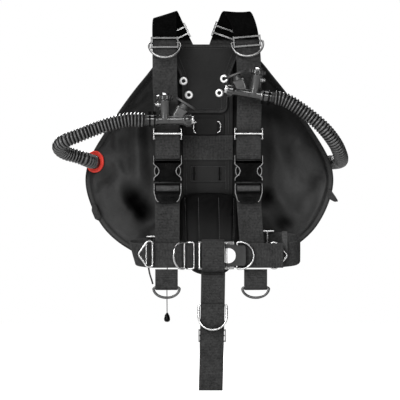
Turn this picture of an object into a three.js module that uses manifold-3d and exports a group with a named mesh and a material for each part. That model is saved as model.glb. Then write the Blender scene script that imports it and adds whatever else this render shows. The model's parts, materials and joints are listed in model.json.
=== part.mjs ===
// A sidemount buoyancy compensator vest: a two-lobed wing behind a fabric spine, webbing
// shoulder straps with side-release buckles, a waist belt, a crotch strap, and two
// corrugated hoses that each carry a power inflator.
//
// Millimetres, +Z up. The front of the vest faces -Y. The origin is on the front
// face of the webbing band that crosses the spine. "_r" is the wearer's right, at -X, and
// "_l" is the wearer's left, at +X.

import * as THREE from "three";
import { mergeVertices } from "three/addons/utils/BufferGeometryUtils.js";
import Module from "manifold-3d";

const wasm = await Module();
wasm.setup();

// ---------------------------------------------------------------- driving dimensions
const WEB = 50; // width of the webbing
const WEB_T = 2.6; // thickness of the webbing
const GAP = 0.4; // clearance between pieces that touch on the real vest
const WIRE = 2.25; // radius of the steel wire in the rings
const STEEL_BAR = 3; // thickness of the slide bars

const BAND_H = 51; // cross band on the spine, whose front face is Y = 0
const BAND_Z = 5; // height of the band's middle
const SPINE_W = 102; // width of the spine panel
const SPINE_T = 4;
const SPINE_TOP = 180;
const SPINE_BOTTOM = -93;

const WING_X = 3; // the wing hangs a little to the wearer's left
const WING_CENTRE_Z = -40;
const WING_SEAM_Y = 42; // depth of the edge seam of the lobes
const WING_SPINE_Y = 23; // depth of the wing's mid surface behind the spine
const LOBE_HALF = 34; // half thickness of a lobe
const SPINE_HALF = 9; // half thickness of the wing behind the spine
const SKIN = 3; // thickness of the wing's outer shell

const BELT_Z = -215; // middle of the belt at the front
const BELT_FRONT_Y = -63;
const TAIL_Y = -72; // the belt's tail, folded back over the front
const STRAP_Y = -46.5; // back layer of the webbing at the buckles
const BUCKLE_Y = -50.6; // middle plane of the side-release buckles
const BUCKLE_TOP = -15; // height of the bar that the shoulder webbing loops round
const BUCKLE_R_X = -82.4;
const BUCKLE_L_X = 83;

const HOSE_R = 15; // corrugated hose, outer radius
const HOSE_BORE = 11;
const INFLATOR_Y = -84;
const TUBE_R = 8.5; // body tube of the inflator
const BARB_R = 9; // the inflator's end inside the hose

// ---------------------------------------------------------------- small helpers
const V = (x, y, z) => new THREE.Vector3(x, y, z);
const rad = THREE.MathUtils.degToRad;

// The point at a distance from another along a direction.
const along = (from, direction, distance) =>
  from.clone().add(direction.clone().multiplyScalar(distance));

// A three.js geometry as a solid, with its faces turned outward.
function solid(geometry) {
  const bare = new THREE.BufferGeometry();
  const loose = geometry.index ? geometry.toNonIndexed() : geometry;
  bare.setAttribute("position", loose.getAttribute("position"));
  const merged = mergeVertices(bare, 1e-3);
  const triVerts = new Uint32Array(merged.index.array);
  const build = () =>
    new wasm.Manifold(
      new wasm.Mesh({
        numProp: 3,
        vertProperties: merged.attributes.position.array,
        triVerts,
      }),
    );
  const made = build();
  if (made.volume() > 0) return made;
  for (let i = 0; i < triVerts.length; i += 3) {
    [triVerts[i + 1], triVerts[i + 2]] = [triVerts[i + 2], triVerts[i + 1]];
  }
  return build();
}

function geometryOf(shape) {
  const { vertProperties, triVerts, numProp } = shape.getMesh();
  const points = new Float32Array(triVerts.length * 3);
  for (let i = 0; i < triVerts.length; i++) {
    for (let k = 0; k < 3; k++) {
      points[i * 3 + k] = vertProperties[triVerts[i] * numProp + k];
    }
  }
  const geometry = new THREE.BufferGeometry();
  geometry.setAttribute("position", new THREE.BufferAttribute(points, 3));
  geometry.computeVertexNormals();
  return geometry;
}

const join = (...pieces) => pieces.reduce((a, b) => a.add(b));
const cut = (piece, ...tools) => tools.reduce((a, b) => a.subtract(b), piece);

// A block between two opposite corners.
function block(x0, x1, y0, y1, z0, z1) {
  const size = [Math.abs(x1 - x0), Math.abs(y1 - y0), Math.abs(z1 - z0)];
  const box = new THREE.BoxGeometry(...size);
  return solid(box.translate((x0 + x1) / 2, (y0 + y1) / 2, (z0 + z1) / 2));
}

// A round bar from one point to another; a second radius makes it a cone.
function rod(from, to, radius, sides = 16, endRadius = radius) {
  const length = from.distanceTo(to);
  const bar = new THREE.CylinderGeometry(endRadius, radius, length, sides);
  const turn = new THREE.Quaternion().setFromUnitVectors(
    V(0, 1, 0),
    to.clone().sub(from).normalize(),
  );
  bar.applyQuaternion(turn);
  const middle = from.clone().add(to).multiplyScalar(0.5);
  return solid(bar.translate(middle.x, middle.y, middle.z));
}

// A flat outline in the X-Z plane, given thickness from backY toward the front.
function upright(shape, thickness, backY, options = {}) {
  const settings = { depth: thickness, bevelEnabled: false, curveSegments: 5 };
  const slab = new THREE.ExtrudeGeometry(shape, { ...settings, ...options });
  slab.rotateX(Math.PI / 2);
  return solid(slab.translate(0, backY, 0));
}

function outline(points) {
  return new THREE.Shape(points.map(([x, z]) => new THREE.Vector2(x, z)));
}

// The same outline with its corners rounded.
function roundedOutline(points, radius) {
  const shape = new THREE.Shape();
  const corner = (i) => new THREE.Vector2(...points[(i + points.length) % points.length]);
  points.forEach((_, i) => {
    const here = corner(i);
    const before = corner(i - 1).sub(here);
    const after = corner(i + 1).sub(here);
    const reach = Math.min(radius, before.length() / 2, after.length() / 2);
    const start = here.clone().add(before.setLength(reach));
    const end = here.clone().add(after.setLength(reach));
    if (i === 0) shape.moveTo(start.x, start.y);
    else shape.lineTo(start.x, start.y);
    shape.quadraticCurveTo(here.x, here.y, end.x, end.y);
  });
  shape.closePath();
  return shape;
}

// Quads and caps over a list of sections, each a ring of points in the same order.
function loft(sections, closed = false) {
  const n = sections[0].length;
  const points = sections.flat();
  const index = [];
  const last = closed ? sections.length : sections.length - 1;
  for (let i = 0; i < last; i++) {
    for (let j = 0; j < n; j++) {
      const a = i * n + j;
      const b = i * n + ((j + 1) % n);
      const c = ((i + 1) % sections.length) * n + j;
      const d = ((i + 1) % sections.length) * n + ((j + 1) % n);
      index.push(a, b, d, a, d, c);
    }
  }
  if (!closed) {
    const end = (sections.length - 1) * n;
    for (let j = 1; j < n - 1; j++) {
      index.push(0, j + 1, j);
      index.push(end, end + j, end + j + 1);
    }
  }
  const geometry = new THREE.BufferGeometry().setFromPoints(points);
  geometry.setIndex(index);
  return solid(geometry);
}

// Webbing along a path. Each station is a point and the direction across the webbing there.
function webbing(stations, width = WEB, thickness = WEB_T) {
  const sections = stations.map(({ at, across }, i) => {
    const before = stations[Math.max(i - 1, 0)].at;
    const after = stations[Math.min(i + 1, stations.length - 1)].at;
    const way = after.clone().sub(before).normalize();
    const side = across.clone().normalize();
    const face = way.clone().cross(side).normalize().multiplyScalar(thickness / 2);
    side.multiplyScalar(width / 2);
    return [
      at.clone().add(side).add(face),
      at.clone().sub(side).add(face),
      at.clone().sub(side).sub(face),
      at.clone().add(side).sub(face),
    ];
  });
  return loft(sections);
}

// The stations of a smooth run through a few knots [x, y, z, lean], where lean is how far the
// webbing's width is turned from +X toward +Z, in degrees.
function run(knots, steps) {
  const path = new THREE.CatmullRomCurve3(knots.map(([x, y, z]) => V(x, y, z)));
  const lean = new THREE.CatmullRomCurve3(knots.map((k, i) => V(k[3], i, 0)));
  return Array.from({ length: steps + 1 }, (_, i) => {
    const angle = rad(lean.getPoint(i / steps).x);
    return { at: path.getPoint(i / steps), across: V(Math.cos(angle), 0, Math.sin(angle)) };
  });
}

// Half a turn of webbing round a bar parallel to X, from the back layer to the front one.
function turnRound(x, y, z, radius, steps = 6) {
  return Array.from({ length: steps + 1 }, (_, i) => {
    const angle = (Math.PI * i) / steps;
    const at = V(x, y + radius * Math.cos(angle), z - radius * Math.sin(angle));
    return { at, across: V(1, 0, 0) };
  });
}

// Wire bent into a closed flat loop through the given points.
function wireLoop(points, normal, radius = WIRE, sides = 6) {
  const n = points.length;
  const sections = points.map((at, i) => {
    const before = at.clone().sub(points[(i + n - 1) % n]).normalize();
    const after = points[(i + 1) % n].clone().sub(at).normalize();
    const way = before.clone().add(after).normalize();
    const side = way.clone().cross(normal).normalize();
    const mitre = 1 / Math.max(0.5, way.dot(after));
    return Array.from({ length: sides }, (_, k) => {
      const angle = (2 * Math.PI * (k + 0.5)) / sides;
      return at
        .clone()
        .add(side.clone().multiplyScalar(radius * mitre * Math.cos(angle)))
        .add(normal.clone().multiplyScalar(radius * Math.sin(angle)));
    });
  });
  return loft(sections, true);
}

// A D-ring: a straight bar of the given length along "barDir" through "at", and a bow that
// reaches "depth" away from it along "bowDir".
function dRing(at, barDir, bowDir, length, depth, radius = WIRE) {
  const half = length / 2;
  const straight = Math.max(2, depth - half);
  const place = (lengthwise, out) => along(along(at, barDir, lengthwise), bowDir, out);
  const chamfer = radius;
  const points = [place(-half + chamfer, 0), place(half - chamfer, 0), place(half, chamfer)];
  const steps = 10;
  for (let i = 0; i <= steps; i++) {
    const angle = (Math.PI * i) / steps;
    points.push(
      place(half * Math.cos(angle), straight + (depth - straight) * Math.sin(angle)),
    );
  }
  points.push(place(-half, chamfer));
  const normal = barDir.clone().cross(bowDir).normalize();
  return wireLoop(points, normal, radius);
}

// Sets a solid that was built upright round the origin onto a strap.
function onStrap(piece, place) {
  const { at, lean, pitch } = place;
  return piece.rotate([pitch, 0, 0]).rotate([0, -lean, 0]).translate([at.x, at.y, at.z]);
}

// ---------------------------------------------------------------- the part
const part = new THREE.Group();
part.name = "sidemount_vest";

const LOOKS = {
  wing_cloth: [0x2b2c2e, 0.85, 0],
  panel_cloth: [0x303133, 0.9, 0],
  pad_cloth: [0x161617, 0.8, 0],
  webbing: [0x3a3b3d, 0.9, 0],
  steel: [0xd5d7d8, 0.25, 1],
  black_steel: [0x55585b, 0.4, 0.9],
  black_plastic: [0x1c1d1f, 0.4, 0],
  hose_rubber: [0x2a2b2d, 0.5, 0],
  soft_rubber: [0x242527, 0.7, 0],
  port_plastic: [0xe0443a, 0.4, 0],
};
const materials = Object.fromEntries(
  Object.entries(LOOKS).map(([name, [color, roughness, metalness]]) => {
    const material = new THREE.MeshStandardMaterial({ color, roughness, metalness });
    material.name = name;
    return [name, material];
  }),
);

function add(name, look, piece) {
  const mesh = new THREE.Mesh(geometryOf(piece), materials[look]);
  mesh.name = name;
  part.add(mesh);
}

// ---------------------------------------------------------------- wing
// Half the wing's outline, from the top of the spine round one lobe to the bottom:
// distance from the wing's centre line, and height.
const WING_EDGE = [
  [0, 212],
  [78, 203],
  [136, 143],
  [197, 60],
  [248, -30],
  [250, -84],
  [210, -165],
  [128, -218],
  [0, -232],
];

function wingPillow(inset) {
  const half = new THREE.CatmullRomCurve3(
    WING_EDGE.map(([x, z]) => V(x, 0, z - WING_CENTRE_Z)),
    false,
    "centripetal",
  );
  const perSide = 14;
  const rim = half.getSpacedPoints(perSide);
  const other = rim.slice(1, -1).reverse().map((p) => V(-p.x, 0, p.z));
  const edge = [...rim, ...other].map((p) => p.setLength(p.length() - inset));
  const rings = [1, 0.94, 0.78, 0.45];
  const surface = (p, ring, side) => {
    const x = p.x * ring;
    const lobe = THREE.MathUtils.smoothstep(Math.abs(x), 40, 120);
    const swell = Math.sqrt(1 - ring * ring);
    const middle = THREE.MathUtils.lerp(WING_SPINE_Y, WING_SEAM_Y, lobe);
    const thick = THREE.MathUtils.lerp(SPINE_HALF, LOBE_HALF, lobe) - inset;
    return V(WING_X + x, middle + side * thick * swell, WING_CENTRE_Z + p.z * ring);
  };
  const points = [];
  const index = [];
  const n = edge.length;
  const start = (side, r) => (r === 0 ? 0 : n * (side < 0 ? r : r + rings.length - 1));
  for (const p of edge) points.push(surface(p, 1, 0));
  for (const side of [-1, 1]) {
    for (const ring of rings.slice(1)) {
      for (const p of edge) points.push(surface(p, ring, side));
    }
  }
  for (const side of [-1, 1]) {
    const centre = points.length;
    points.push(surface(V(0, 0, 0), 0, side));
    for (let r = 0; r < rings.length; r++) {
      for (let j = 0; j < n; j++) {
        const a = start(side, r) + j;
        const b = start(side, r) + ((j + 1) % n);
        const inner = r + 1 < rings.length;
        const c = inner ? start(side, r + 1) + j : centre;
        const d = inner ? start(side, r + 1) + ((j + 1) % n) : centre;
        const faces = inner ? [a, b, d, a, d, c] : [a, b, centre];
        if (side > 0) faces.reverse();
        index.push(...faces);
      }
    }
  }
  const geometry = new THREE.BufferGeometry().setFromPoints(points);
  geometry.setIndex(index);
  return solid(geometry);
}

const wingOuter = wingPillow(0);

// The depth of the wing's front or rear surface at a place.
function wingY(x, z, side) {
  const probe = rod(V(x, -100, z), V(x, 200, z), 0.5, 4);
  const box = wingOuter.intersect(probe).boundingBox();
  return side < 0 ? box.min[1] : box.max[1];
}

// The front port, near the edge of the right lobe, leans a little outward. The rear port is
// near the edge of the left lobe. The dump valve is low on the rear of the right lobe.
const portR = V(-231, wingY(-231, -23.5, -1), -23.5);
const portRAxis = V(-Math.sin(rad(15)), -Math.cos(rad(15)), 0);
const portL = V(208, wingY(208, -25, 1), -25);
const portLAxis = V(0, 1, 0);
const valve = V(-84, wingY(-84, -185, 1), -185);
const valveAxis = V(0, 1, 0);
const NECK = 11.8; // radius of a hose's neck inside its port
const NECK_DEPTH = 7;
const HOLE_DEPTH = 12;

// A flat seat on the wing for a round flange, and a hole into the wing behind it.
function seat(at, axis, flange, hole) {
  return join(
    rod(along(at, axis, -1), along(at, axis, 40), flange, 24),
    rod(along(at, axis, -HOLE_DEPTH), along(at, axis, 10), hole, 20),
  );
}

const seats = join(
  seat(portR, portRAxis, 24, 14.6),
  seat(portL, portLAxis, 22.5, 14.8),
  seat(valve, valveAxis, 21.5, 12.6),
);
add("wing_shell", "wing_cloth", cut(wingOuter, wingPillow(SKIN), seats));

// The bladder fills the shell. The rear port's flange and the dump valve's housing are welded
// to it and come out through the shell.
const bladderPort = join(
  rod(along(portL, portLAxis, -20), along(portL, portLAxis, 2), 14, 20),
  rod(along(portL, portLAxis, -0.5), along(portL, portLAxis, 6), 21, 24),
);
const VALVE_HOUSING = 15;
const valveHousing = join(
  rod(along(valve, valveAxis, -20), along(valve, valveAxis, 2), 12, 20),
  rod(along(valve, valveAxis, -0.5), along(valve, valveAxis, VALVE_HOUSING), 20, 24),
);
const cordTop = V(valve.x, valve.y + 8, valve.z - 12);
const CORD_R = 0.9;
const TOGGLE_TOP = -334;
const bladderBody = wingPillow(SKIN + 0.8);
const frontHole = join(
  rod(along(portR, portRAxis, -HOLE_DEPTH), along(portR, portRAxis, 5), NECK + GAP, 20),
  rod(along(portR, portRAxis, -1.5 - SKIN), along(portR, portRAxis, 20), 26, 20),
);
add(
  "wing_bladder",
  "wing_cloth",
  cut(
    join(bladderBody, bladderPort, valveHousing),
    frontHole,
    rod(along(portL, portLAxis, -HOLE_DEPTH), along(portL, portLAxis, 20), NECK + GAP, 20),
    rod(cordTop.clone().setZ(valve.z - 4), cordTop.clone().setZ(valve.z - 40), CORD_R + 0.8, 8),
  ),
);

// ---------------------------------------------------------------- spine, panel and pad
const halfSpine = SPINE_W / 2;
const slotFrame = join(
  block(-28, 31, 0.6, 2.5, -36, -58),
  block(-halfSpine + 8, halfSpine - 8, 1, 2.5, SPINE_BOTTOM, SPINE_BOTTOM + 8),
);
const spinePlate = join(
  block(-halfSpine, halfSpine, 2.4, 2.4 + SPINE_T, SPINE_BOTTOM, SPINE_TOP),
  block(-halfSpine, halfSpine, 0, 2.5, BAND_Z - BAND_H / 2, BAND_Z + BAND_H / 2),
  slotFrame,
);
const SLOT_X = [-28.5, 23.7];
const slots = SLOT_X.map((x) => block(x - 1.2, x + 1.2, -1, 8, -61, -35));
add("spine_panel", "panel_cloth", cut(spinePlate, ...slots));

// The upper panel is a shield: wide at the shoulders, narrow and round at its foot.
const PANEL_X = -6;
const PANEL_FRONT = -2.2;
const PANEL_T = 4.2;
const shield = roundedOutline(
  [
    [PANEL_X - 75, 216],
    [PANEL_X - 47, 143],
    [PANEL_X - 46, 76],
    [PANEL_X + 46, 76],
    [PANEL_X + 47, 143],
    [PANEL_X + 75, 216],
  ],
  16,
);
const GROMMETS = {
  grommet_upper_r: [-50, 141.5],
  grommet_lower_r: [-39.2, 113],
  grommet_upper_l: [33, 146],
  grommet_lower_l: [23.3, 117],
};
const EYELET = { flange: 8.5, hole: 3.6, barrel: 4.4, thick: 1.4 };
const eyeletHoles = Object.values(GROMMETS).map(([x, z]) =>
  rod(V(x, -8, z), V(x, 14, z), EYELET.barrel + 0.4, 12),
);
const panelBack = PANEL_FRONT + PANEL_T;
add("upper_panel", "panel_cloth", cut(upright(shield, PANEL_T, panelBack), ...eyeletHoles));

for (const [name, [x, z]] of Object.entries(GROMMETS)) {
  const front = PANEL_FRONT - 0.1;
  const barrel = rod(V(x, front - 0.5, z), V(x, panelBack - 0.3, z), EYELET.barrel, 12);
  const flange = rod(V(x, front, z), V(x, front - EYELET.thick, z), EYELET.flange, 16, 7);
  const hole = rod(V(x, -12, z), V(x, 12, z), EYELET.hole, 12);
  add(name, "steel", cut(join(flange, barrel), hole));
}

// The lumbar pad: an arched top, straight sides and a round foot that shows below the belt.
const pad = new THREE.Shape();
pad.moveTo(-57, -102);
pad.quadraticCurveTo(-55, -92, -40, -91);
pad.quadraticCurveTo(2, -87, 44, -91);
pad.quadraticCurveTo(60, -92, 61, -102);
pad.lineTo(60, -195);
pad.quadraticCurveTo(58, -240, 38, -251);
pad.quadraticCurveTo(6, -262, -28, -251);
pad.quadraticCurveTo(-54, -240, -56, -195);
pad.closePath();
const padPuff = {
  bevelEnabled: true,
  bevelThickness: 5,
  bevelSize: 4,
  bevelOffset: -4,
  bevelSegments: 2,
};
add("lumbar_pad", "pad_cloth", upright(pad, 8, -4.4, padPuff));

// ---------------------------------------------------------------- shoulder straps
// From behind the panel, up and over the shoulder, down the chest to the buckle, round its
// bar and back up to the chest slide.
const LOOP_R = 4.1; // the webbing's middle line round the buckle's bar
const CHEST_SLIDE_Z = 33;

const SHOULDER_R = [
  [-47, 5, 194, 26],
  [-58, 5, 216, 26],
  [-76.5, 3, 256, 24],
  [-86.5, -12, 276, 19],
  [-88.5, -28, 270, 12],
  [-89, -36, 250, 4],
  [-88.5, -41, 215, 0],
  [-87.5, -45, 130, 0],
  [BUCKLE_R_X, STRAP_Y, 30, 0],
  [BUCKLE_R_X, STRAP_Y, BUCKLE_TOP, 0],
];
const SHOULDER_L = [
  [21.5, 5, 194, -20],
  [29, 5, 216, -20],
  [45, 2, 258, -18],
  [56, -12, 281, -6],
  [65, -28, 274, 14],
  [74.5, -36, 250, 12],
  [80.5, -41, 215, 4],
  [84.6, -45, 130, 1],
  [BUCKLE_L_X, STRAP_Y, 30, 0],
  [BUCKLE_L_X, STRAP_Y, BUCKLE_TOP, 0],
];

function shoulderStrap(name, knots, x) {
  const down = run(knots, 30);
  const turn = turnRound(x, BUCKLE_Y, BUCKLE_TOP, LOOP_R);
  const up = [
    { at: V(x, BUCKLE_Y - LOOP_R, -2), across: V(1, 0, 0) },
    { at: V(x, BUCKLE_Y - LOOP_R + 1.5, 12), across: V(1, 0, 0) },
    { at: V(x, BUCKLE_Y - LOOP_R + 4.3, 25), across: V(1, 0, 0) },
    { at: V(x, BUCKLE_Y - LOOP_R + 4.6, CHEST_SLIDE_Z + 1), across: V(1, 0, 0) },
  ];
  add(name, "webbing", webbing([...down, ...turn.slice(1), ...up]));
}

shoulderStrap("shoulder_strap_r", SHOULDER_R, BUCKLE_R_X);
shoulderStrap("shoulder_strap_l", SHOULDER_L, BUCKLE_L_X);

// Where a shoulder strap passes a height, behind the shoulder or in front of it: the point,
// and the turns that set a flat piece onto the webbing there.
function placeOn(knots, height, inFront) {
  const fine = run(knots, 300);
  const top = fine.reduce((best, s, i) => (s.at.z > fine[best].at.z ? i : best), 0);
  const half = inFront ? fine.slice(top) : fine.slice(0, top).reverse();
  const i = half.findIndex((s) => s.at.z < height);
  const { at, across } = half[i];
  const upward = half[i - 1].at.clone().sub(half[i + 1].at).normalize();
  return {
    at,
    across,
    upward,
    lean: (Math.atan2(across.z, across.x) * 180) / Math.PI,
    pitch: (-Math.asin(upward.y) * 180) / Math.PI,
  };
}

// Steel slides that webbing runs through straight: end plates beside the webbing, bars in
// front of it and bars behind it. Each bar is its height from the slide's middle.
function slide(width, height, frontBars, backBars, room) {
  const inner = width / 2 - STEEL_BAR + 0.6;
  const front = -room / 2;
  const back = room / 2;
  const end = (s) => {
    const corner = [
      [s * inner, -height / 2],
      [s * (width / 2), -height / 2],
      [s * (width / 2), height / 2],
      [s * inner, height / 2],
    ];
    const depth = room + 2 * STEEL_BAR;
    return upright(roundedOutline(corner, 1), depth, back + STEEL_BAR);
  };
  const bar = (z, y0, y1) => block(-inner - 0.5, inner + 0.5, y0, y1, z - 1.6, z + 1.6);
  return join(
    end(-1),
    end(1),
    ...frontBars.map((z) => bar(z, front - STEEL_BAR, front)),
    ...backBars.map((z) => bar(z, back, back + STEEL_BAR)),
  );
}

const ONE_LAYER = WEB_T + 2.2; // room between front and back bars, with play for a bend
const TWO_LAYERS = 2 * WEB_T + 2.6;
const topSlide = () => slide(57, 32, [-7.5, 7.5], [-14, 0, 14], ONE_LAYER);
add("top_triglide_r", "steel", onStrap(topSlide(), placeOn(SHOULDER_R, 235, false)));
add("top_triglide_l", "steel", onStrap(topSlide(), placeOn(SHOULDER_L, 241, false)));

const chestSlide = () => slide(59, 24, [0], [-10, 10], TWO_LAYERS);
const chestY = STRAP_Y - 1.8;
add("chest_triglide_r", "steel", chestSlide().translate([BUCKLE_R_X, chestY, CHEST_SLIDE_Z]));
add("chest_triglide_l", "steel", chestSlide().translate([BUCKLE_L_X, chestY, CHEST_SLIDE_Z]));

// The shoulder rings: a slide on the strap, and a ring whose bar lies behind the webbing. The
// ring leans forward so that its bow clears the slide.
const RING_DROP = 38; // from the ring's bar to its bow
function shoulderRing(side, place) {
  const frame = slide(56.6, 24, [-9.3, 9.3], [-10.4, 10.4], ONE_LAYER + 0.4);
  const { at, across, upward } = place;
  const outward = across.clone().cross(upward); // away from the chest
  if (outward.y > 0) outward.negate();
  const tilt = rad(33);
  const bow = upward.clone().multiplyScalar(-Math.cos(tilt));
  bow.add(outward.clone().multiplyScalar(Math.sin(tilt)));
  const bar = at.clone().add(outward.multiplyScalar(-WEB_T / 2 - GAP - WIRE));
  add(`shoulder_ring_${side}`, "steel", dRing(bar, across, bow, 64, RING_DROP));
  // The ring's bar turns in a hole through each end plate of the slide.
  const bearing = rod(along(bar, across, -40), along(bar, across, 40), WIRE + GAP, 12);
  add(`ring_slider_${side}`, "steel", cut(onStrap(frame, place), bearing));
}
shoulderRing("r", placeOn(SHOULDER_R, 219, true));
shoulderRing("l", placeOn(SHOULDER_L, 222, true));

// ---------------------------------------------------------------- side-release buckles
const SOCKET_WAIST = [
  [29, -22],
  [29, -28],
  [20.5, -36],
  [18, -43],
  [20.5, -50],
  [28, -57],
  [28, -65],
];
const PRONG = [
  [13.5, -66.2],
  [18.5, -66.2],
  [19.5, -56],
  [26.5, -46],
  [26.5, -39],
  [22, -32],
  [16, -32],
  [14.5, -50],
];
const INSERT_TOP = -67.6;

function buckle(side, x) {
  const mirrored = [...SOCKET_WAIST].reverse().map(([a, z]) => [-a, z]);
  const face = outline([...SOCKET_WAIST, ...mirrored].map(([a, z]) => [x + a, z]));
  const back = upright(face, 1.8, BUCKLE_Y + 4.2);
  const front = upright(face, 1.8, BUCKLE_Y - 2.4);
  const depth = [BUCKLE_Y - 4.2, BUCKLE_Y + 4.2];
  const posts = [-1, 1].map((s) => block(x + s * 25.8, x + s * 28, ...depth, -58, -65));
  const arms = [-1, 1].map((s) => block(x + s * 26.2, x + s * 29, ...depth, -11, -27));
  const bar = rod(V(x - 27, BUCKLE_Y, BUCKLE_TOP), V(x + 27, BUCKLE_Y, BUCKLE_TOP), 2.5, 12);
  const top = block(x - 29, x + 29, ...depth, -22, -27);
  add(
    `buckle_socket_${side}`,
    "black_plastic",
    join(back, front, ...posts, ...arms, bar, top),
  );

  // The insert's ladder: rails, three bars for the lower webbing, and a lip to pull it by.
  const rails = [-1, 1].map((s) =>
    block(x + s * 25.4, x + s * 28, BUCKLE_Y - 3, BUCKLE_Y + 2.6, INSERT_TOP, -91),
  );
  const ladder = [
    [INSERT_TOP, -72.5],
    [-78.5, -81.5],
    [-86.5, -91],
  ].map(([z1, z0]) => block(x - 26, x + 26, BUCKLE_Y - 3, BUCKLE_Y + 2.6, z0, z1));
  const lip = outline([
    [x - 25, -90.5],
    [x + 25, -90.5],
    [x + 21, -106],
    [x + 8, -108],
    [x - 8, -108],
    [x - 21, -106],
  ]);
  add(
    `buckle_insert_${side}`,
    "black_plastic",
    join(...rails, ...ladder, upright(lip, 3, BUCKLE_Y - 0.5)),
  );

  // The two sprung prongs. "outer" is the one away from the spine.
  for (const s of [-1, 1]) {
    const place = s * Math.sign(x) > 0 ? "outer" : "inner";
    const shape = outline(PRONG.map(([a, z]) => [x + s * a, z]));
    add(`prong_${place}_${side}`, "black_plastic", upright(shape, 3.9, BUCKLE_Y + 1.95));
  }
}
buckle("r", BUCKLE_R_X);
buckle("l", BUCKLE_L_X);

// The lower straps hang from the inserts and end behind the belt.
const lowerKnots = (x0, x1) => [
  [x0, -43.9, -69, 0],
  [x0, -43.9, -110, 0],
  [x1, -49, -190, 0],
  [x1, -55.5, -239, 0],
];
add("lower_strap_r", "webbing", webbing(run(lowerKnots(-82.6, -82.8), 12)));
add("lower_strap_l", "webbing", webbing(run(lowerKnots(84, 89), 12)));

// ---------------------------------------------------------------- waist belt
// One webbing: from the buckle round the wearer's right hip, behind the lumbar pad, round the
// left hip to the buckle's roller, and back over itself as the tail.
const ROLLER_X = 14;
const ROLLER_Y = (BELT_FRONT_Y + TAIL_Y) / 2;
const beltPath = new THREE.CatmullRomCurve3(
  [
    V(-20, BELT_FRONT_Y, BELT_Z),
    V(-60, BELT_FRONT_Y, BELT_Z),
    V(-118, -57, BELT_Z),
    V(-148, -38, -213),
    V(-153, -17, -209),
    V(-135, 0, -206),
    V(-95, 9, -203),
    V(-45, 10, -200),
    V(45, 10, -197),
    V(110, 9, -193),
    V(150, 2, -193),
    V(186, -25, -200),
    V(182, -47, -209),
    V(160, -58, -213),
    V(120, BELT_FRONT_Y, BELT_Z),
    V(60, BELT_FRONT_Y, BELT_Z),
    V(ROLLER_X + 1, BELT_FRONT_Y, BELT_Z),
  ],
  false,
  "centripetal",
);
// At the wearer's right hip the belt's top edge leans outward, over the hip bone.
function beltAcross(p) {
  const hip = THREE.MathUtils.smoothstep(-p.x, 100, 150);
  return V(-0.27 * hip, 0, 1);
}
const beltRun = beltPath.getPoints(46).map((at) => ({ at, across: beltAcross(at) }));
const rollerTurn = Array.from({ length: 5 }, (_, i) => {
  const angle = (Math.PI * (i + 1)) / 6;
  const r = (BELT_FRONT_Y - TAIL_Y) / 2;
  return V(ROLLER_X - r * Math.sin(angle), ROLLER_Y + r * Math.cos(angle), BELT_Z);
});
const TAIL_END = 153;
const tail = [ROLLER_X, 50, 90, 120, TAIL_END].map((x) => V(x, TAIL_Y, BELT_Z));
const folded = [...rollerTurn, ...tail].map((at) => ({ at, across: V(0, 0, 1) }));
add("waist_belt", "webbing", webbing([...beltRun, ...folded]));

// The buckle: rails above and below the belt, a bar for each end, a steel face plate in front
// of the tail, and a lever on a pin that is the plate's hinge.
const RAIL = 25.6; // from the belt's middle line to the inside of a rail
const RAIL_T = 2.6;
const PIN = V(37, -80.6, BELT_Z);
const rail = (s) =>
  block(-19, 53, -59, -77.4, BELT_Z + s * RAIL, BELT_Z + s * (RAIL + RAIL_T));
const acrossBelt = (x, y, radius) =>
  rod(V(x, y, BELT_Z - RAIL - 1), V(x, y, BELT_Z + RAIL + 1), radius, 12);
const ears = [-1, 1].map((s) =>
  block(33.5, 40.5, -77, -84, BELT_Z + s * RAIL, BELT_Z + s * (RAIL + RAIL_T)),
);
add(
  "waist_buckle_frame",
  "steel",
  join(
    rail(-1),
    rail(1),
    acrossBelt(-17, -67.4, 2.6),
    acrossBelt(ROLLER_X, ROLLER_Y, 2.6),
    block(26, 53, -75.2, -77.4, BELT_Z - RAIL - 1, BELT_Z + RAIL + 1),
    ...ears,
    rod(PIN.clone().setZ(BELT_Z - RAIL - 1), PIN.clone().setZ(BELT_Z + RAIL + 1), 1.5, 12),
  ),
);
const LEVER_HALF = 23.4;
const leverFace = roundedOutline(
  [
    [PIN.x, BELT_Z - LEVER_HALF],
    [77, BELT_Z - LEVER_HALF],
    [77, BELT_Z + LEVER_HALF],
    [PIN.x, BELT_Z + LEVER_HALF],
  ],
  10,
);
const windowHole = rod(V(48, -90, BELT_Z), V(48, -70, BELT_Z), 13, 24);
const barrel = (radius, half) =>
  rod(PIN.clone().setZ(BELT_Z - half), PIN.clone().setZ(BELT_Z + half), radius, 14);
add(
  "waist_buckle_lever",
  "black_plastic",
  cut(
    join(
      cut(upright(leverFace, 2.8, -79), windowHole),
      barrel(2.9, LEVER_HALF),
    ),
    barrel(1.9, LEVER_HALF + 2),
  ),
);

// ---------------------------------------------------------------- rings on the belt
const UP = V(0, 0, 1);
const BELT_RING_L = V(59, -75.9, BELT_Z);
const BELT_RING_R = V(-48, -68.2, BELT_Z);
add("belt_ring_l", "steel", dRing(BELT_RING_L, UP, V(1, 0, 0), 54.6, 34, 2.1));

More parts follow.
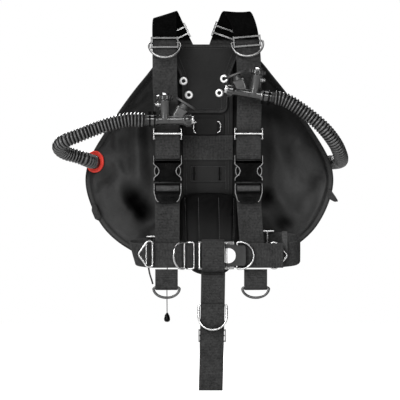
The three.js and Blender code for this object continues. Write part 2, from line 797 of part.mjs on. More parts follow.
// The right belt ring stands out from the belt. Its bar runs in two eyes of a slide.
const standOut = rad(50);
const bowOut = V(-Math.cos(standOut), -Math.sin(standOut), 0);
add("belt_ring_r", "steel", dRing(BELT_RING_R, UP, bowOut, 54.6, 34, 2.1));
const sliderEnds = [-1, 1].map((s) =>
  block(-45, -27, -59, -68.2, BELT_Z + s * 25.5, BELT_Z + s * 28.2),
);
const eyes = [-14, 14].map((z) => {
  const eye = rod(
    BELT_RING_R.clone().setZ(BELT_Z + z - 3),
    BELT_RING_R.clone().setZ(BELT_Z + z + 3),
    3.5,
    14,
  );
  const arm = block(-47, -29, -65.4, -68.2, BELT_Z + z - 3, BELT_Z + z + 3);
  return eye.add(arm);
});
const eyeBore = rod(
  BELT_RING_R.clone().setZ(BELT_Z - 22),
  BELT_RING_R.clone().setZ(BELT_Z + 22),
  2.4,
  14,
);
// One side of the eyes is cut away so that they clear the webbing behind them.
const behindEyes = block(-60, -20, -60, -64.9, BELT_Z - 20, BELT_Z + 20);
add(
  "belt_slider_r",
  "steel",
  cut(
    join(
      ...sliderEnds,
      block(-30.2, -27, -65.2, -68.2, BELT_Z - 26, BELT_Z + 26),
      block(-45, -41.8, -59, -61, BELT_Z - 26, BELT_Z + 26),
      block(-30.2, -27, -59, -61, BELT_Z - 26, BELT_Z + 26),
      ...eyes,
    ),
    eyeBore,
    behindEyes,
  ),
);

// Triangular hip rings: a bar, a second bar beside it, and two wires that meet in a point.
function triangle(bar, out, reach, height) {
  const place = (o, z) => bar.clone().add(out.clone().multiplyScalar(o)).add(V(0, 0, z));
  const half = height / 2;
  const points = [
    place(0, -half + 3),
    place(0, half - 3),
    place(3, half),
    place(11, half),
    place(reach - 2, 4),
    place(reach, 0),
    place(reach - 2, -4),
    place(11, -half),
    place(3, -half),
  ];
  const normal = UP.clone().cross(out).normalize();
  return join(
    wireLoop(points, normal, 1.9),
    rod(place(13, -half + 3), place(13, half - 3), 1.8, 8),
  );
}
const hipSwing = rad(12);
add(
  "hip_ring_r",
  "steel",
  triangle(V(-113, -66.6, -212), V(-Math.cos(hipSwing), -Math.sin(hipSwing), 0), 29, 53),
);
add("hip_ring_l", "steel", triangle(V(128, -67.5, BELT_Z), V(1, 0, 0), 33, 53));

// Slides on the belt behind the hips. Only their upper ends show above the front of the belt.
function rearSlide(name, x) {
  const fine = beltPath.getPoints(600).filter((p) => p.y > -15);
  const i = fine.findIndex((p, k) => k > 2 && p.x > x);
  const way = fine[i + 2].clone().sub(fine[i - 2]).normalize();
  const turn = (Math.atan2(way.y, way.x) * 180) / Math.PI;
  const across = beltAcross(fine[i]);
  const lean = (Math.atan2(across.x, across.z) * 180) / Math.PI;
  const frame = slide(57, 27, [0], [-11, 11], ONE_LAYER + 0.8).rotate([0, 90 + lean, 0]);
  const { x: px, y: py, z: pz } = fine[i];
  add(name, "steel", frame.rotate([0, 0, turn]).translate([px, py, pz]));
}
rearSlide("rear_slide_r", -112);
rearSlide("rear_slide_l", 122);

// ---------------------------------------------------------------- drop straps
const DROP_Z = -243;
const DROP_BAR_Z = -280;
const DROP_Y = -58;
function dropStrap(side, x, width) {
  const level = V(1, 0, 0);
  const back = DROP_Y + LOOP_R;
  const front = DROP_Y - LOOP_R;
  const stations = [
    { at: V(x, back, DROP_Z), across: level },
    { at: V(x, back, (DROP_Z + DROP_BAR_Z) / 2), across: level },
    ...turnRound(x, DROP_Y, DROP_BAR_Z, LOOP_R),
    { at: V(x, front, (DROP_Z + DROP_BAR_Z) / 2), across: level },
    { at: V(x, front + 1.2, DROP_Z), across: level },
  ];
  add(`drop_strap_${side}`, "webbing", webbing(stations, width));
  const bar = V(x, DROP_Y, DROP_BAR_Z);
  add(`drop_ring_${side}`, "black_steel", dRing(bar, level, V(0, 0, -1), width + 7, 21, 2.4));
}
dropStrap("r", -84.5, 46);
dropStrap("l", 97, 47);

// ---------------------------------------------------------------- crotch strap
const CROTCH_X = 10.5;
const CROTCH_W = 46;
const LOOP_FRONT = -88;
const LOOP_BACK = -55.5;
const loopHalf = 28.6 + GAP; // the buckle's rails pass inside the loop
const loopPath = new THREE.CatmullRomCurve3(
  [
    V(CROTCH_X, LOOP_FRONT, BELT_Z + 22),
    V(CROTCH_X, LOOP_FRONT + 4, BELT_Z + loopHalf),
    V(CROTCH_X, -72, BELT_Z + loopHalf + 2.6),
    V(CROTCH_X, LOOP_BACK - 3, BELT_Z + loopHalf + 1),
    V(CROTCH_X, LOOP_BACK, BELT_Z + 22),
    V(CROTCH_X, LOOP_BACK, BELT_Z - 22),
    V(CROTCH_X, LOOP_BACK - 3, BELT_Z - loopHalf - 1),
    V(CROTCH_X, -72, BELT_Z - loopHalf - 2.6),
    V(CROTCH_X, LOOP_FRONT + 4, BELT_Z - loopHalf),
    V(CROTCH_X, LOOP_FRONT, BELT_Z - 22),
  ],
  true,
  "centripetal",
);
const LOOP_SIDES = 30;
const loopSections = loopPath
  .getPoints(LOOP_SIDES)
  .slice(0, LOOP_SIDES)
  .map((at, i, all) => {
    const before = all[(i + all.length - 1) % all.length];
    const after = all[(i + 1) % all.length];
    const way = after.clone().sub(before).normalize();
    const face = way.cross(V(1, 0, 0)).normalize().multiplyScalar(WEB_T / 2);
    const side = V(CROTCH_W / 2, 0, 0);
    return [
      at.clone().add(side).add(face),
      at.clone().sub(side).add(face),
      at.clone().sub(side).sub(face),
      at.clone().add(side).sub(face),
    ];
  });
add("crotch_loop", "webbing", loft(loopSections, true));

// The strap hangs below the loop. It carries a slide, and a ring whose bar is held behind it.
const CROTCH_TOP = BELT_Z - loopHalf - 2.6 - WEB_T;
const CROTCH_Y = -70;
const CROTCH_END = -490;
const CROTCH_RING_Z = -316;
const crotchRun = [
  [CROTCH_X, CROTCH_Y, CROTCH_TOP, 0],
  [CROTCH_X - 1, CROTCH_Y, CROTCH_RING_Z, 0],
  [CROTCH_X - 3, CROTCH_Y, -400, 0],
  [CROTCH_X - 5, CROTCH_Y, CROTCH_END, 0],
];
add("crotch_strap", "webbing", webbing(run(crotchRun, 12), 49));
const crotchRingAt = V(CROTCH_X - 1, CROTCH_Y + 4.3, CROTCH_RING_Z);
const crotchTilt = rad(16);
const crotchBow = V(0, -Math.sin(crotchTilt), -Math.cos(crotchTilt));
add("crotch_ring", "steel", dRing(crotchRingAt, V(1, 0, 0), crotchBow, 57, 52, WIRE));
const crotchSlide = slide(56, 26, [], [-11.4, 0, 11.4], ONE_LAYER);
add(
  "crotch_triglide",
  "steel",
  crotchSlide.translate([CROTCH_X - 2, CROTCH_Y, -378]),
);

// A steel loop under the top of the spine, held by a dark fabric tab, for a bungee.
const loopRing = [
  [-29, 52],
  [-27, 56],
  [22, 58],
  [25, 54],
  [25, 39],
  [22, 35],
  [-27, 33],
  [-29, 37],
].map(([x, z]) => V(x, -1.4, z));
add("back_loop", "steel", wireLoop(loopRing, V(0, 1, 0), 1.6));

// ---------------------------------------------------------------- inflators
// Built in its own frame: "u" runs from the hose to the dump button, "v" is up, both in a
// plane parallel to the chest.
function inflator(side, start, uDir, vDir, cuff) {
  const at = (u, v) =>
    start
      .clone()
      .add(uDir.clone().multiplyScalar(u))
      .add(vDir.clone().multiplyScalar(v));
  const STUB_U = 15; // the valve stub that the low-pressure hose plugs into
  const STUB_TOP = 42;
  const TUBE_END = 57;
  const lean = rad(32); // the mouthpiece leans toward the dump button
  const mouth = uDir
    .clone()
    .multiplyScalar(Math.sin(lean))
    .add(vDir.clone().multiplyScalar(Math.cos(lean)));
  const mouthFoot = at(38, 2);
  const onMouth = (d) => mouthFoot.clone().add(mouth.clone().multiplyScalar(d));
  const body = join(
    rod(at(-cuff, 0), at(1, 0), 12.5, 16),
    rod(at(-cuff - 13, 0), at(-cuff + 1, 0), BARB_R, 14),
    rod(at(0, 0), at(TUBE_END + 1, 0), TUBE_R, 14),
    rod(at(TUBE_END, 0), at(TUBE_END + 13, 0), 13.5, 18),
    rod(at(STUB_U, 0), at(STUB_U, STUB_TOP), TUBE_R, 14),
    rod(at(STUB_U, STUB_TOP), at(STUB_U, STUB_TOP + 9), 14, 18),
    rod(at(STUB_U - 6, 31), at(STUB_U - 34, 31), 4, 10),
    rod(at(STUB_U - 20, 31), at(STUB_U - 30, 31), 6.8, 12),
    rod(onMouth(0), onMouth(24), 9, 14),
  );
  const bores = [
    rod(at(-cuff - 20, 0), at(TUBE_END - 8, 0), 6, 10),
    rod(at(TUBE_END + 4, 0), at(TUBE_END + 20, 0), 10.4, 16),
    rod(at(STUB_U, STUB_TOP + 1), at(STUB_U, STUB_TOP + 20), 10.4, 16),
    rod(onMouth(12), onMouth(40), 6.5, 10),
  ];
  add(`inflator_${side}`, "black_plastic", cut(body, ...bores));

  const button = (u, v, direction, reach) =>
    rod(at(u, v), at(u, v).add(direction.clone().multiplyScalar(reach)), 9.6, 16);
  add(`inflate_button_${side}`, "steel", button(STUB_U, STUB_TOP + 5, vDir, 9));
  add(`deflate_button_${side}`, "steel", button(TUBE_END + 9, 0, uDir, 10));

  // The mouthpiece is soft: a sleeve over the branch, and an oval lip flange.
  const sleeve = rod(onMouth(25), onMouth(36), 9.5, 16, 8);
  const flange = rod(onMouth(35.5), onMouth(39), 11, 24);
  const widen = (piece) => {
    const origin = onMouth(37);
    const turn = (Math.atan2(mouth.x, mouth.z) * 180) / Math.PI;
    return piece
      .translate([-origin.x, -origin.y, -origin.z])
      .rotate([0, -turn, 0])
      .scale([2.1, 1.3, 1])
      .rotate([0, turn, 0])
      .translate([origin.x, origin.y, origin.z]);
  };
  const throat = rod(onMouth(20), onMouth(45), 6, 14);
  add(`mouthpiece_${side}`, "soft_rubber", cut(join(sleeve, widen(flange)), throat));
}
const tubeStartR = V(-103, INFLATOR_Y, 60.8);
const tubeStartL = V(107.5, INFLATOR_Y, 110.8);
const slopeL = rad(10);
const CUFF_R = 34;
const CUFF_L = 22;
const uRight = V(1, 0, 0);
const uLeft = V(-Math.cos(slopeL), 0, Math.sin(slopeL));
inflator("r", tubeStartR, uRight, UP, CUFF_R);
inflator("l", tubeStartL, uLeft, V(Math.sin(slopeL), 0, Math.cos(slopeL)), CUFF_L);

// ---------------------------------------------------------------- hoses
function hose(side, points, port, axis) {
  const path = new THREE.CatmullRomCurve3(points, false, "centripetal");
  const tube = (radius) => {
    const section = new THREE.Shape().absarc(0, 0, radius, 0, 2 * Math.PI);
    const settings = { steps: 22, extrudePath: path, curveSegments: 6 };
    return solid(new THREE.ExtrudeGeometry(section, settings));
  };
  const neck = rod(along(port, axis, -NECK_DEPTH), along(port, axis, 15), NECK, 20);
  const hollow = rod(along(port, axis, -NECK_DEPTH - 1), along(port, axis, 20), 8, 14);
  const end = points.at(-1);
  const way = end.clone().sub(points.at(-2)).normalize();
  const mouth = rod(along(end, way, -4), along(end, way, 2), HOSE_BORE, 14);
  add(
    `hose_${side}`,
    "hose_rubber",
    cut(join(tube(HOSE_R), neck), tube(HOSE_BORE), hollow, mouth),
  );
}
hose(
  "r",
  [
    along(portR, portRAxis, 6),
    along(portR, portRAxis, 24),
    V(-252, -13, -18),
    V(-270, -21, -12),
    V(-288, -30, -7),
    V(-301, -45, 1),
    V(-302, -62, 10),
    V(-290, -77, 19),
    V(-264, INFLATOR_Y, 29),
    V(-234, INFLATOR_Y, 41),
    V(-195, INFLATOR_Y, 54),
    along(tubeStartR, uRight, -CUFF_R - 26),
    V(tubeStartR.x - CUFF_R - 0.4, INFLATOR_Y, tubeStartR.z),
  ],
  portR,
  portRAxis,
);
hose(
  "l",
  [
    along(portL, portLAxis, 8),
    along(portL, portLAxis, 22),
    V(219, 97, -25),
    V(240, 104, -25),
    V(260, 89, -24),
    V(271, 56, -22),
    V(273, 18, -18),
    V(270, -20, -8),
    V(259, -53, 14),
    V(235, -77, 44),
    V(200, INFLATOR_Y, 74),
    along(tubeStartL, uLeft, -CUFF_L - 26),
    along(tubeStartL, uLeft, -CUFF_L - 0.4),
  ],
  portL,
  portLAxis,
);
add(
  "port_ring_r",
  "port_plastic",
  cut(
    rod(along(portR, portRAxis, -0.7), along(portR, portRAxis, 5), 22.5, 24),
    rod(along(portR, portRAxis, -5), along(portR, portRAxis, 10), NECK + GAP, 20),
  ),
);

// The dump valve's pull: a cord with a drop-shaped toggle on its end.
const toggleProfile = [
  [0, 0],
  [4.2, 1],
  [6.2, 5],
  [5.4, 11],
  [2.6, 18],
  [0, 19],
].map(([r, z]) => new THREE.Vector2(r, z));
const toggle = new THREE.LatheGeometry(toggleProfile, 14);
toggle.rotateX(Math.PI / 2);
toggle.translate(cordTop.x, cordTop.y, TOGGLE_TOP - 19);
add(
  "dump_toggle",
  "black_plastic",
  join(solid(toggle), rod(cordTop, cordTop.clone().setZ(TOGGLE_TOP - 4), CORD_R, 8)),
);

export default part;
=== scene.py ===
# Looks of the sidemount vest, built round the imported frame.
#
# Lengths inside this script are millimetres in the frame's own axes: -Y is the front, +Z is up,
# "_r" is the wearer's right (-X) and "_l" the wearer's left (+X). Meshes are made in metres.

import json
import math

import bmesh
import bpy
import numpy as np
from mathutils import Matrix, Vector, noise


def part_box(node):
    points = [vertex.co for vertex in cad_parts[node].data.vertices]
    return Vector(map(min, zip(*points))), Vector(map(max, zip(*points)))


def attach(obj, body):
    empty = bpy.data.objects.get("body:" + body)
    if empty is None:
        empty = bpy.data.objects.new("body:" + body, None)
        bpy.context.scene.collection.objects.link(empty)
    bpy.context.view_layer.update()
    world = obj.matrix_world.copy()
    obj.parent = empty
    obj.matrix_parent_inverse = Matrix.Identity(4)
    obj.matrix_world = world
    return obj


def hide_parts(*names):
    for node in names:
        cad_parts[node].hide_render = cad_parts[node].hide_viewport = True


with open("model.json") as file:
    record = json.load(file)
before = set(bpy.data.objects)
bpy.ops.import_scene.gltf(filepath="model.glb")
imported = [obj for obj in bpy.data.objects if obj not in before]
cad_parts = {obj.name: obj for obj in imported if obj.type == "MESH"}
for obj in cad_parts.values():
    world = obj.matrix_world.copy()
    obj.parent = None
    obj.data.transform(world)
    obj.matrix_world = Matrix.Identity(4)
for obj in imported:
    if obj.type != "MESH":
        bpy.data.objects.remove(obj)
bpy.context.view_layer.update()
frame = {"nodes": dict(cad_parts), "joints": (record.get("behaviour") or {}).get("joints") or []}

MM = 0.001
WEB = 50.0  # width of the harness webbing
WEB_T = 2.6  # its thickness
WIRE = 2.25  # wire radius of the shoulder and crotch rings


# ---------------------------------------------------------------- vectors and curves
def vec(*v):
    return np.array(v, float)


FORWARD, BACKWARD, UP, SIDEWAYS = vec(0, -1, 0), vec(0, 1, 0), vec(0, 0, 1), vec(1, 0, 0)
JOINTS = {joint["name"]: joint for joint in frame["joints"]}


def unit(v):
    v = np.asarray(v, float)
    return v / np.linalg.norm(v)


def smoothstep(x, low, high):
    t = np.clip((x - low) / (high - low), 0, 1)
    return t * t * (3 - 2 * t)


def box_mm(node):
    """The lowest and highest corner of a CAD node, in millimetres."""
    return tuple(np.array(corner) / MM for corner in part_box(node))


def middle(node):
    """The middle of a CAD node's box, in millimetres."""
    low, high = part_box(node)
    return np.array((low + high) / 2) / MM


def anchor(joint):
    """The point a hinge turns about, in millimetres."""
    return np.array(JOINTS[joint]["pos_m"]) / MM


def curve(knots, count, closed=False):
    """A smooth curve through the knots, evenly spaced by knot (centripetal Catmull-Rom)."""
    points = np.array(knots, float)
    n = len(points)
    spans = n if closed else n - 1
    out = []
    for k in range(count if closed else count + 1):
        p = spans * k / count
        i = min(int(p), spans - 1)
        w = p - i
        p1, p2 = points[i % n], points[(i + 1) % n]
        p0 = points[(i - 1) % n] if closed or i > 0 else 2 * points[0] - points[1]
        p3 = points[(i + 2) % n] if closed or i + 2 < n else 2 * points[-1] - points[-2]
        d0, d1, d2 = (
            max(np.dot(b - a, b - a), 1e-9) ** 0.25 for a, b in ((p0, p1), (p1, p2), (p2, p3))
        )
        t1 = ((p1 - p0) / d0 - (p2 - p0) / (d0 + d1) + (p2 - p1) / d1) * d1
        t2 = ((p2 - p1) / d1 - (p3 - p1) / (d1 + d2) + (p3 - p2) / d2) * d1
        out.append(
            p1 + t1 * w + (3 * p2 - 3 * p1 - 2 * t1 - t2) * w**2 + (2 * p1 - 2 * p2 + t1 + t2) * w**3
        )
    return np.array(out)


def lengths(path):
    return np.concatenate([[0], np.cumsum(np.linalg.norm(np.diff(path, axis=0), axis=1))])


def respace(path, step, *others):
    """The path at equal steps of length, with other arrays that run along it."""
    s = lengths(path)
    count = max(2, int(round(s[-1] / step)) + 1)
    even = np.linspace(0, s[-1], count)
    arrays = [path, *others]
    out = [np.column_stack([np.interp(even, s, a[:, k]) for k in range(3)]) for a in arrays]
    return out if others else out[0]


def bump(x, z, seed, size):
    """Smooth noise between about -1 and 1."""
    return noise.noise(Vector((x / size, z / size, seed * 7.31)))


# ---------------------------------------------------------------- shapes
class Shape:
    """Points, faces, UVs and a tone per point, gathered for one piece."""

    def __init__(self):
        self.points = []
        self.faces = []
        self.uvs = []
        self.tones = []
        self.slots = []

    def add(self, points, faces, uv=None, tone=1.0, slot=0):
        base = len(self.points)
        points = np.asarray(points, float)
        self.points.extend(points.tolist())
        self.faces.extend([[base + i for i in face] for face in faces])
        self.uvs.extend(uv if uv is not None else points[:, [0, 2]].tolist())
        tones = np.broadcast_to(np.asarray(tone, float), (len(points),))
        self.tones.extend(tones.tolist())
        self.slots.extend([slot] * len(faces))
        return self

    # Rings of points joined by quads, with flat ends unless closed along the length.
    def rings(self, sections, closed=False, caps=True, uv=None, tone=1.0, slot=0):
        count, n = len(sections), len(sections[0])
        faces = []
        for i in range(count if closed else count - 1):
            k = (i + 1) % count
            for j in range(n):
                m = (j + 1) % n
                faces.append([i * n + j, i * n + m, k * n + m, k * n + j])
        if caps and not closed:
            faces.append(list(range(n))[::-1])
            faces.append([(count - 1) * n + j for j in range(n)])
        return self.add(np.concatenate(sections), faces, uv, tone, slot)

    # A round tube along a path; the radius may vary along it.
    def tube(self, path, radius, sides=12, closed=False, tone=1.0, slot=0):
        path = np.asarray(path, float)
        n = len(path)
        if closed:
            way = np.roll(path, -1, 0) - np.roll(path, 1, 0)
        else:
            way = np.gradient(path, axis=0)
        way /= np.linalg.norm(way, axis=1)[:, None]
        side = np.zeros_like(path)
        start = vec(0, 0, 1) if abs(way[0][2]) < 0.9 else vec(0, 1, 0)
        side[0] = unit(np.cross(way[0], start))
        for i in range(1, n):
            turned = side[i - 1] - way[i] * np.dot(side[i - 1], way[i])
            side[i] = unit(turned)
        other = np.cross(way, side)
        radii = np.broadcast_to(np.asarray(radius, float), (n,))
        angles = np.arange(sides) * 2 * math.pi / sides
        sections = [
            path[i]
            + radii[i] * (np.outer(np.cos(angles), side[i]) + np.outer(np.sin(angles), other[i]))
            for i in range(n)
        ]
        s = lengths(path)
        uv = [[radii[i] * a, s[i]] for i in range(n) for a in angles]
        return self.rings(sections, closed, True, uv, tone, slot)

    # A profile of (radius, distance) turned round an axis. A closed profile makes a ring.
    def lathe(self, profile, origin, axis, sides=32, closed=False, tone=1.0, slot=0):
        axis = unit(axis)
        across = unit(np.cross(axis, vec(0, 1, 0) if abs(axis[1]) < 0.9 else vec(0, 0, 1)))
        other = np.cross(axis, across)
        angles = np.arange(sides) * 2 * math.pi / sides
        sections = []
        for r, d in profile:
            ring = np.outer(np.cos(angles), across) + np.outer(np.sin(angles), other)
            sections.append(np.asarray(origin, float) + axis * d + ring * max(r, 0.01))
        uv = [[r * a, d] for r, d in profile for a in angles]
        return self.rings(sections, closed, not closed, uv, tone, slot)

    def block(self, low, high, tone=1.0, slot=0):
        (x0, y0, z0), (x1, y1, z1) = np.minimum(low, high), np.maximum(low, high)
        points = [(x, y, z) for x in (x0, x1) for y in (y0, y1) for z in (z0, z1)]
        faces = [[0, 1, 3, 2], [4, 6, 7, 5], [0, 4, 5, 1], [2, 3, 7, 6], [0, 2, 6, 4], [1, 5, 7, 3]]
        return self.add(points, faces, None, tone, slot)

    # A flat outline of (x, z) with thickness between two depths.
    def plate(self, outline, y0, y1, tone=1.0, slot=0):
        sections = [[(x, y, z) for x, z in outline] for y in (y0, y1)]
        return self.rings([np.array(s, float) for s in sections], False, True, None, tone, slot)

    # Webbing along stations, with rounded selvedges.
    def ribbon(self, at, across, width=WEB, thick=WEB_T, step=4.0, tone=1.0, slot=0, seed=1.0, curl=0.25):
        at, across = respace(np.asarray(at, float), step, np.asarray(across, float))
        way = np.gradient(at, axis=0)
        way /= np.linalg.norm(way, axis=1)[:, None]
        side = across / np.linalg.norm(across, axis=1)[:, None]
        face = np.cross(way, side)
        face /= np.linalg.norm(face, axis=1)[:, None]
        half, r = width / 2, thick / 2
        flat = np.linspace(-half + r, half - r, 13)
        turn = np.radians([55, 0, -55])
        s = np.concatenate(
            [flat, half - r + r * np.cos(turn), flat[::-1], -half + r - r * np.cos(turn)]
        )
        h = np.concatenate([np.full(13, r), r * np.sin(turn), np.full(13, -r), -r * np.sin(turn)])
        run = lengths(at)
        sections, uv = [], []
        for i in range(len(at)):
            lift = np.array([0.22 * bump(a, run[i], seed, 38) for a in s])
            lift += curl * ((s / half) ** 2 - 0.4)
            sections.append(at[i] + np.outer(s, side[i]) + np.outer(h + lift, face[i]))
            uv += [[a, run[i]] for a in s]
        if np.ndim(tone) == 0:
            tones = tone
        else:
            tones = np.repeat(np.interp(run, np.linspace(0, run[-1], len(tone)), tone), len(s))
        return self.rings(sections, False, True, uv, tones, slot)

    # Thread stitches along a line that lies on a surface whose normal is given.
    def stitches(self, line, normal, pitch=3.4, thick=0.42, tone=1.0, slot=0):
        path = respace(np.asarray(line, float), pitch)
        normal = unit(normal)
        for a, b in zip(path[:-1], path[1:]):
            way = b - a
            length = np.linalg.norm(way)
            if length < 0.5:
                continue
            way = way / length
            side = np.cross(way, normal)
            centre = (a + b) / 2
            reach = 0.36 * length
            points = [
                centre - way * reach,
                centre + way * reach,
                centre + side * thick,
                centre - side * thick,
                centre + normal * thick,
                centre - normal * thick,
            ]
            faces = [
                [0, 2, 4], [2, 1, 4], [1, 3, 4], [3, 0, 4],
                [2, 0, 5], [1, 2, 5], [3, 1, 5], [0, 3, 5],
            ]
            self.add(points, faces, None, tone, slot)
        return self

    # A boxed cross of stitches round a point on a strap.
    def box_stitch(self, at, across, up, wide, tall, slot=0):
        across, up = unit(across), unit(up)
        normal = np.cross(across, up)
        if normal[1] > 0:
            normal = -normal
        corner = [
            at + across * (sx * wide / 2) + up * (sz * tall / 2)
            for sx, sz in ((-1, -1), (1, -1), (1, 1), (-1, 1))
        ]
        lines = [(0, 1), (1, 2), (2, 3), (3, 0), (0, 2), (1, 3)]
        for a, b in lines:
            self.stitches([corner[a], corner[b]], normal, slot=slot)
        return self


def place(name, shape, body, materials, stands_for=(), bevel=0.0, angle=32):
    """Makes the piece from its shape and sets it on its body."""
    mesh = bpy.data.meshes.new(name)
    mesh.from_pydata((np.array(shape.points) * MM).tolist(), [], shape.faces)
    layer = mesh.uv_layers.new(name="cloth")
    loops = np.zeros(len(mesh.loops), np.int32)
    mesh.loops.foreach_get("vertex_index", loops)
    layer.data.foreach_set("uv", (np.array(shape.uvs)[loops] * MM).astype(np.float32).ravel())
    tone = mesh.attributes.new("tone", "FLOAT", "POINT")
    tone.data.foreach_set("value", np.array(shape.tones, np.float32))
    materials = materials if isinstance(materials, (list, tuple)) else [materials]
    for material in materials:
        mesh.materials.append(material)
    mesh.polygons.foreach_set("material_index", np.array(shape.slots, np.int32))
    work = bmesh.new()
    work.from_mesh(mesh)
    bmesh.ops.recalc_face_normals(work, faces=work.faces)
    work.to_mesh(mesh)
    work.free()
    mesh.shade_smooth()
    mesh.set_sharp_from_angle(angle=math.radians(angle))
    piece = bpy.data.objects.new(name, mesh)
    bpy.context.scene.collection.objects.link(piece)
    if bevel:
        modifier = piece.modifiers.new("edge", "BEVEL")
        modifier.width = bevel * MM
        modifier.segments = 2
        modifier.limit_method = "ANGLE"
        modifier.angle_limit = math.radians(30)
        modifier.harden_normals = False
    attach(piece, body)
    if stands_for:
        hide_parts(*stands_for)
    return piece


# ---------------------------------------------------------------- materials
class Paint:
    """A node material, built with short calls."""

    def __init__(self, name, slot_name):
        self.material = bpy.data.materials.new(name)
        self.material.use_nodes = True
        self.material["slot_name"] = slot_name
        self.tree = self.material.node_tree
        self.shader = self.tree.nodes["Principled BSDF"]

    def node(self, kind, inputs=None, **settings):
        node = self.tree.nodes.new(kind)
        for key, value in settings.items():
            setattr(node, key, value)
        for key, value in (inputs or {}).items():
            if isinstance(value, bpy.types.NodeSocket):
                self.tree.links.new(value, node.inputs[key])
            else:
                node.inputs[key].default_value = value
        return node

    def math(self, operation, a, b=0.0, clamp=False):
        node = self.node("ShaderNodeMath", {0: a, 1: b}, operation=operation, use_clamp=clamp)
        return node.outputs[0]

    def mix(self, factor, a, b):
        node = self.node("ShaderNodeMix", data_type="RGBA")
        for index, value in ((0, factor), (6, a), (7, b)):
            if isinstance(value, bpy.types.NodeSocket):
                self.tree.links.new(value, node.inputs[index])
            else:
                node.inputs[index].default_value = value
        return node.outputs[2]

    def noise(self, scale, detail=3.0, vector=None, rough=0.55):
        inputs = {"Scale": scale, "Detail": detail, "Roughness": rough}
        if vector is None:
            vector = self.node("ShaderNodeTexCoord").outputs["Object"]
        inputs["Vector"] = vector
        return self.node("ShaderNodeTexNoise", inputs).outputs["Fac"]

    def scaled(self, value, low, high, out_low, out_high):
        inputs = {"Value": value, "From Min": low, "From Max": high}
        inputs |= {"To Min": out_low, "To Max": out_high}
        return self.node("ShaderNodeMapRange", inputs, clamp=True).outputs[0]

    def tone(self):
        return self.node("ShaderNodeAttribute", attribute_name="tone").outputs["Fac"]

    def lit(self, color, tone):
        """The colour times the piece's tone. On some pieces the tone holds painted shade and painted
        highlights.
        """
        return self.node("ShaderNodeVectorMath", {0: color, 3: tone}, operation="SCALE").outputs[0]

    def set(self, **values):
        for key, value in values.items():
            name = key.replace("_", " ")
            if isinstance(value, bpy.types.NodeSocket):
                self.tree.links.new(value, self.shader.inputs[name])
            else:
                self.shader.inputs[name].default_value = value

    def bump(self, height, distance, strength=1.0, after=None):
        inputs = {"Height": height, "Distance": distance * MM, "Strength": strength}
        node = self.node("ShaderNodeBump", inputs)
        if after is not None:
            self.tree.links.new(after, node.inputs["Normal"])
        return node.outputs[0]


def grey(value, warm=0.0):
    return (value * (1 + warm), value, value * (1 - warm), 1.0)


def stripes(paint, coordinate, pitch):
    """A wave from 0 to 1 that repeats at the pitch, in millimetres."""
    turned = paint.math("MULTIPLY", coordinate, 2 * math.pi / (pitch * MM))
    wave = paint.math("SINE", turned)
    return paint.scaled(wave, -1, 1, 0, 1)


def webbing_paint(name, base, slot_name="webbing", rib=3.2, shine=0.03):
    p = Paint(name, slot_name)
    uv = p.node("ShaderNodeUVMap", uv_map="cloth").outputs[0]
    split = p.node("ShaderNodeSeparateXYZ", {0: uv}).outputs
    along = stripes(p, split[1], rib)
    slant = p.math("ADD", split[0], p.math("MULTIPLY", split[1], 0.8))
    twill = stripes(p, slant, 2.6)
    weave = p.math("ADD", p.math("MULTIPLY", along, 0.55), p.math("MULTIPLY", twill, 0.45))
    wear = p.noise(26.0, 4.0)
    fibre = p.noise(230.0, 4.0, rough=0.75)
    # Painted shade: an occlusion term darkens the webbing where other parts lie close over it.
    painted_occlusion = p.node("ShaderNodeAmbientOcclusion", {"Distance": 0.014}, samples=4).outputs["AO"]
    edge = p.scaled(p.math("ABSOLUTE", split[0]), 0.0215, 0.0245, 0.0, 1.0)
    shade = p.math("ADD", p.math("MULTIPLY", weave, 0.24), p.math("MULTIPLY", wear, 0.45))
    shade = p.math("ADD", shade, p.math("MULTIPLY", fibre, 0.95))
    dark, light = grey(base * 0.3), grey(base * 2.0)
    color = p.mix(p.scaled(shade, 0.56, 1.06, 0, 1), dark, light)
    color = p.mix(p.math("MULTIPLY", edge, 0.3), color, grey(base * 2.0))
    # Painted shade in the recesses, from the occlusion term.
    color = p.mix(p.scaled(painted_occlusion, 0.35, 0.95, 0.85, 0.0), color, grey(base * 0.08))
    height = p.math("ADD", weave, p.math("MULTIPLY", fibre, 0.5))
    p.set(
        Base_Color=p.lit(color, p.tone()),
        Roughness=p.scaled(wear, 0.3, 0.7, 0.72, 0.9),
        Specular_IOR_Level=p.math("MULTIPLY", p.tone(), 0.12, clamp=True),
        Sheen_Weight=p.math("MULTIPLY", p.tone(), shine, clamp=True),
        Sheen_Roughness=0.45,
        Normal=p.bump(height, 0.35, 0.8),
    )
    return p.material


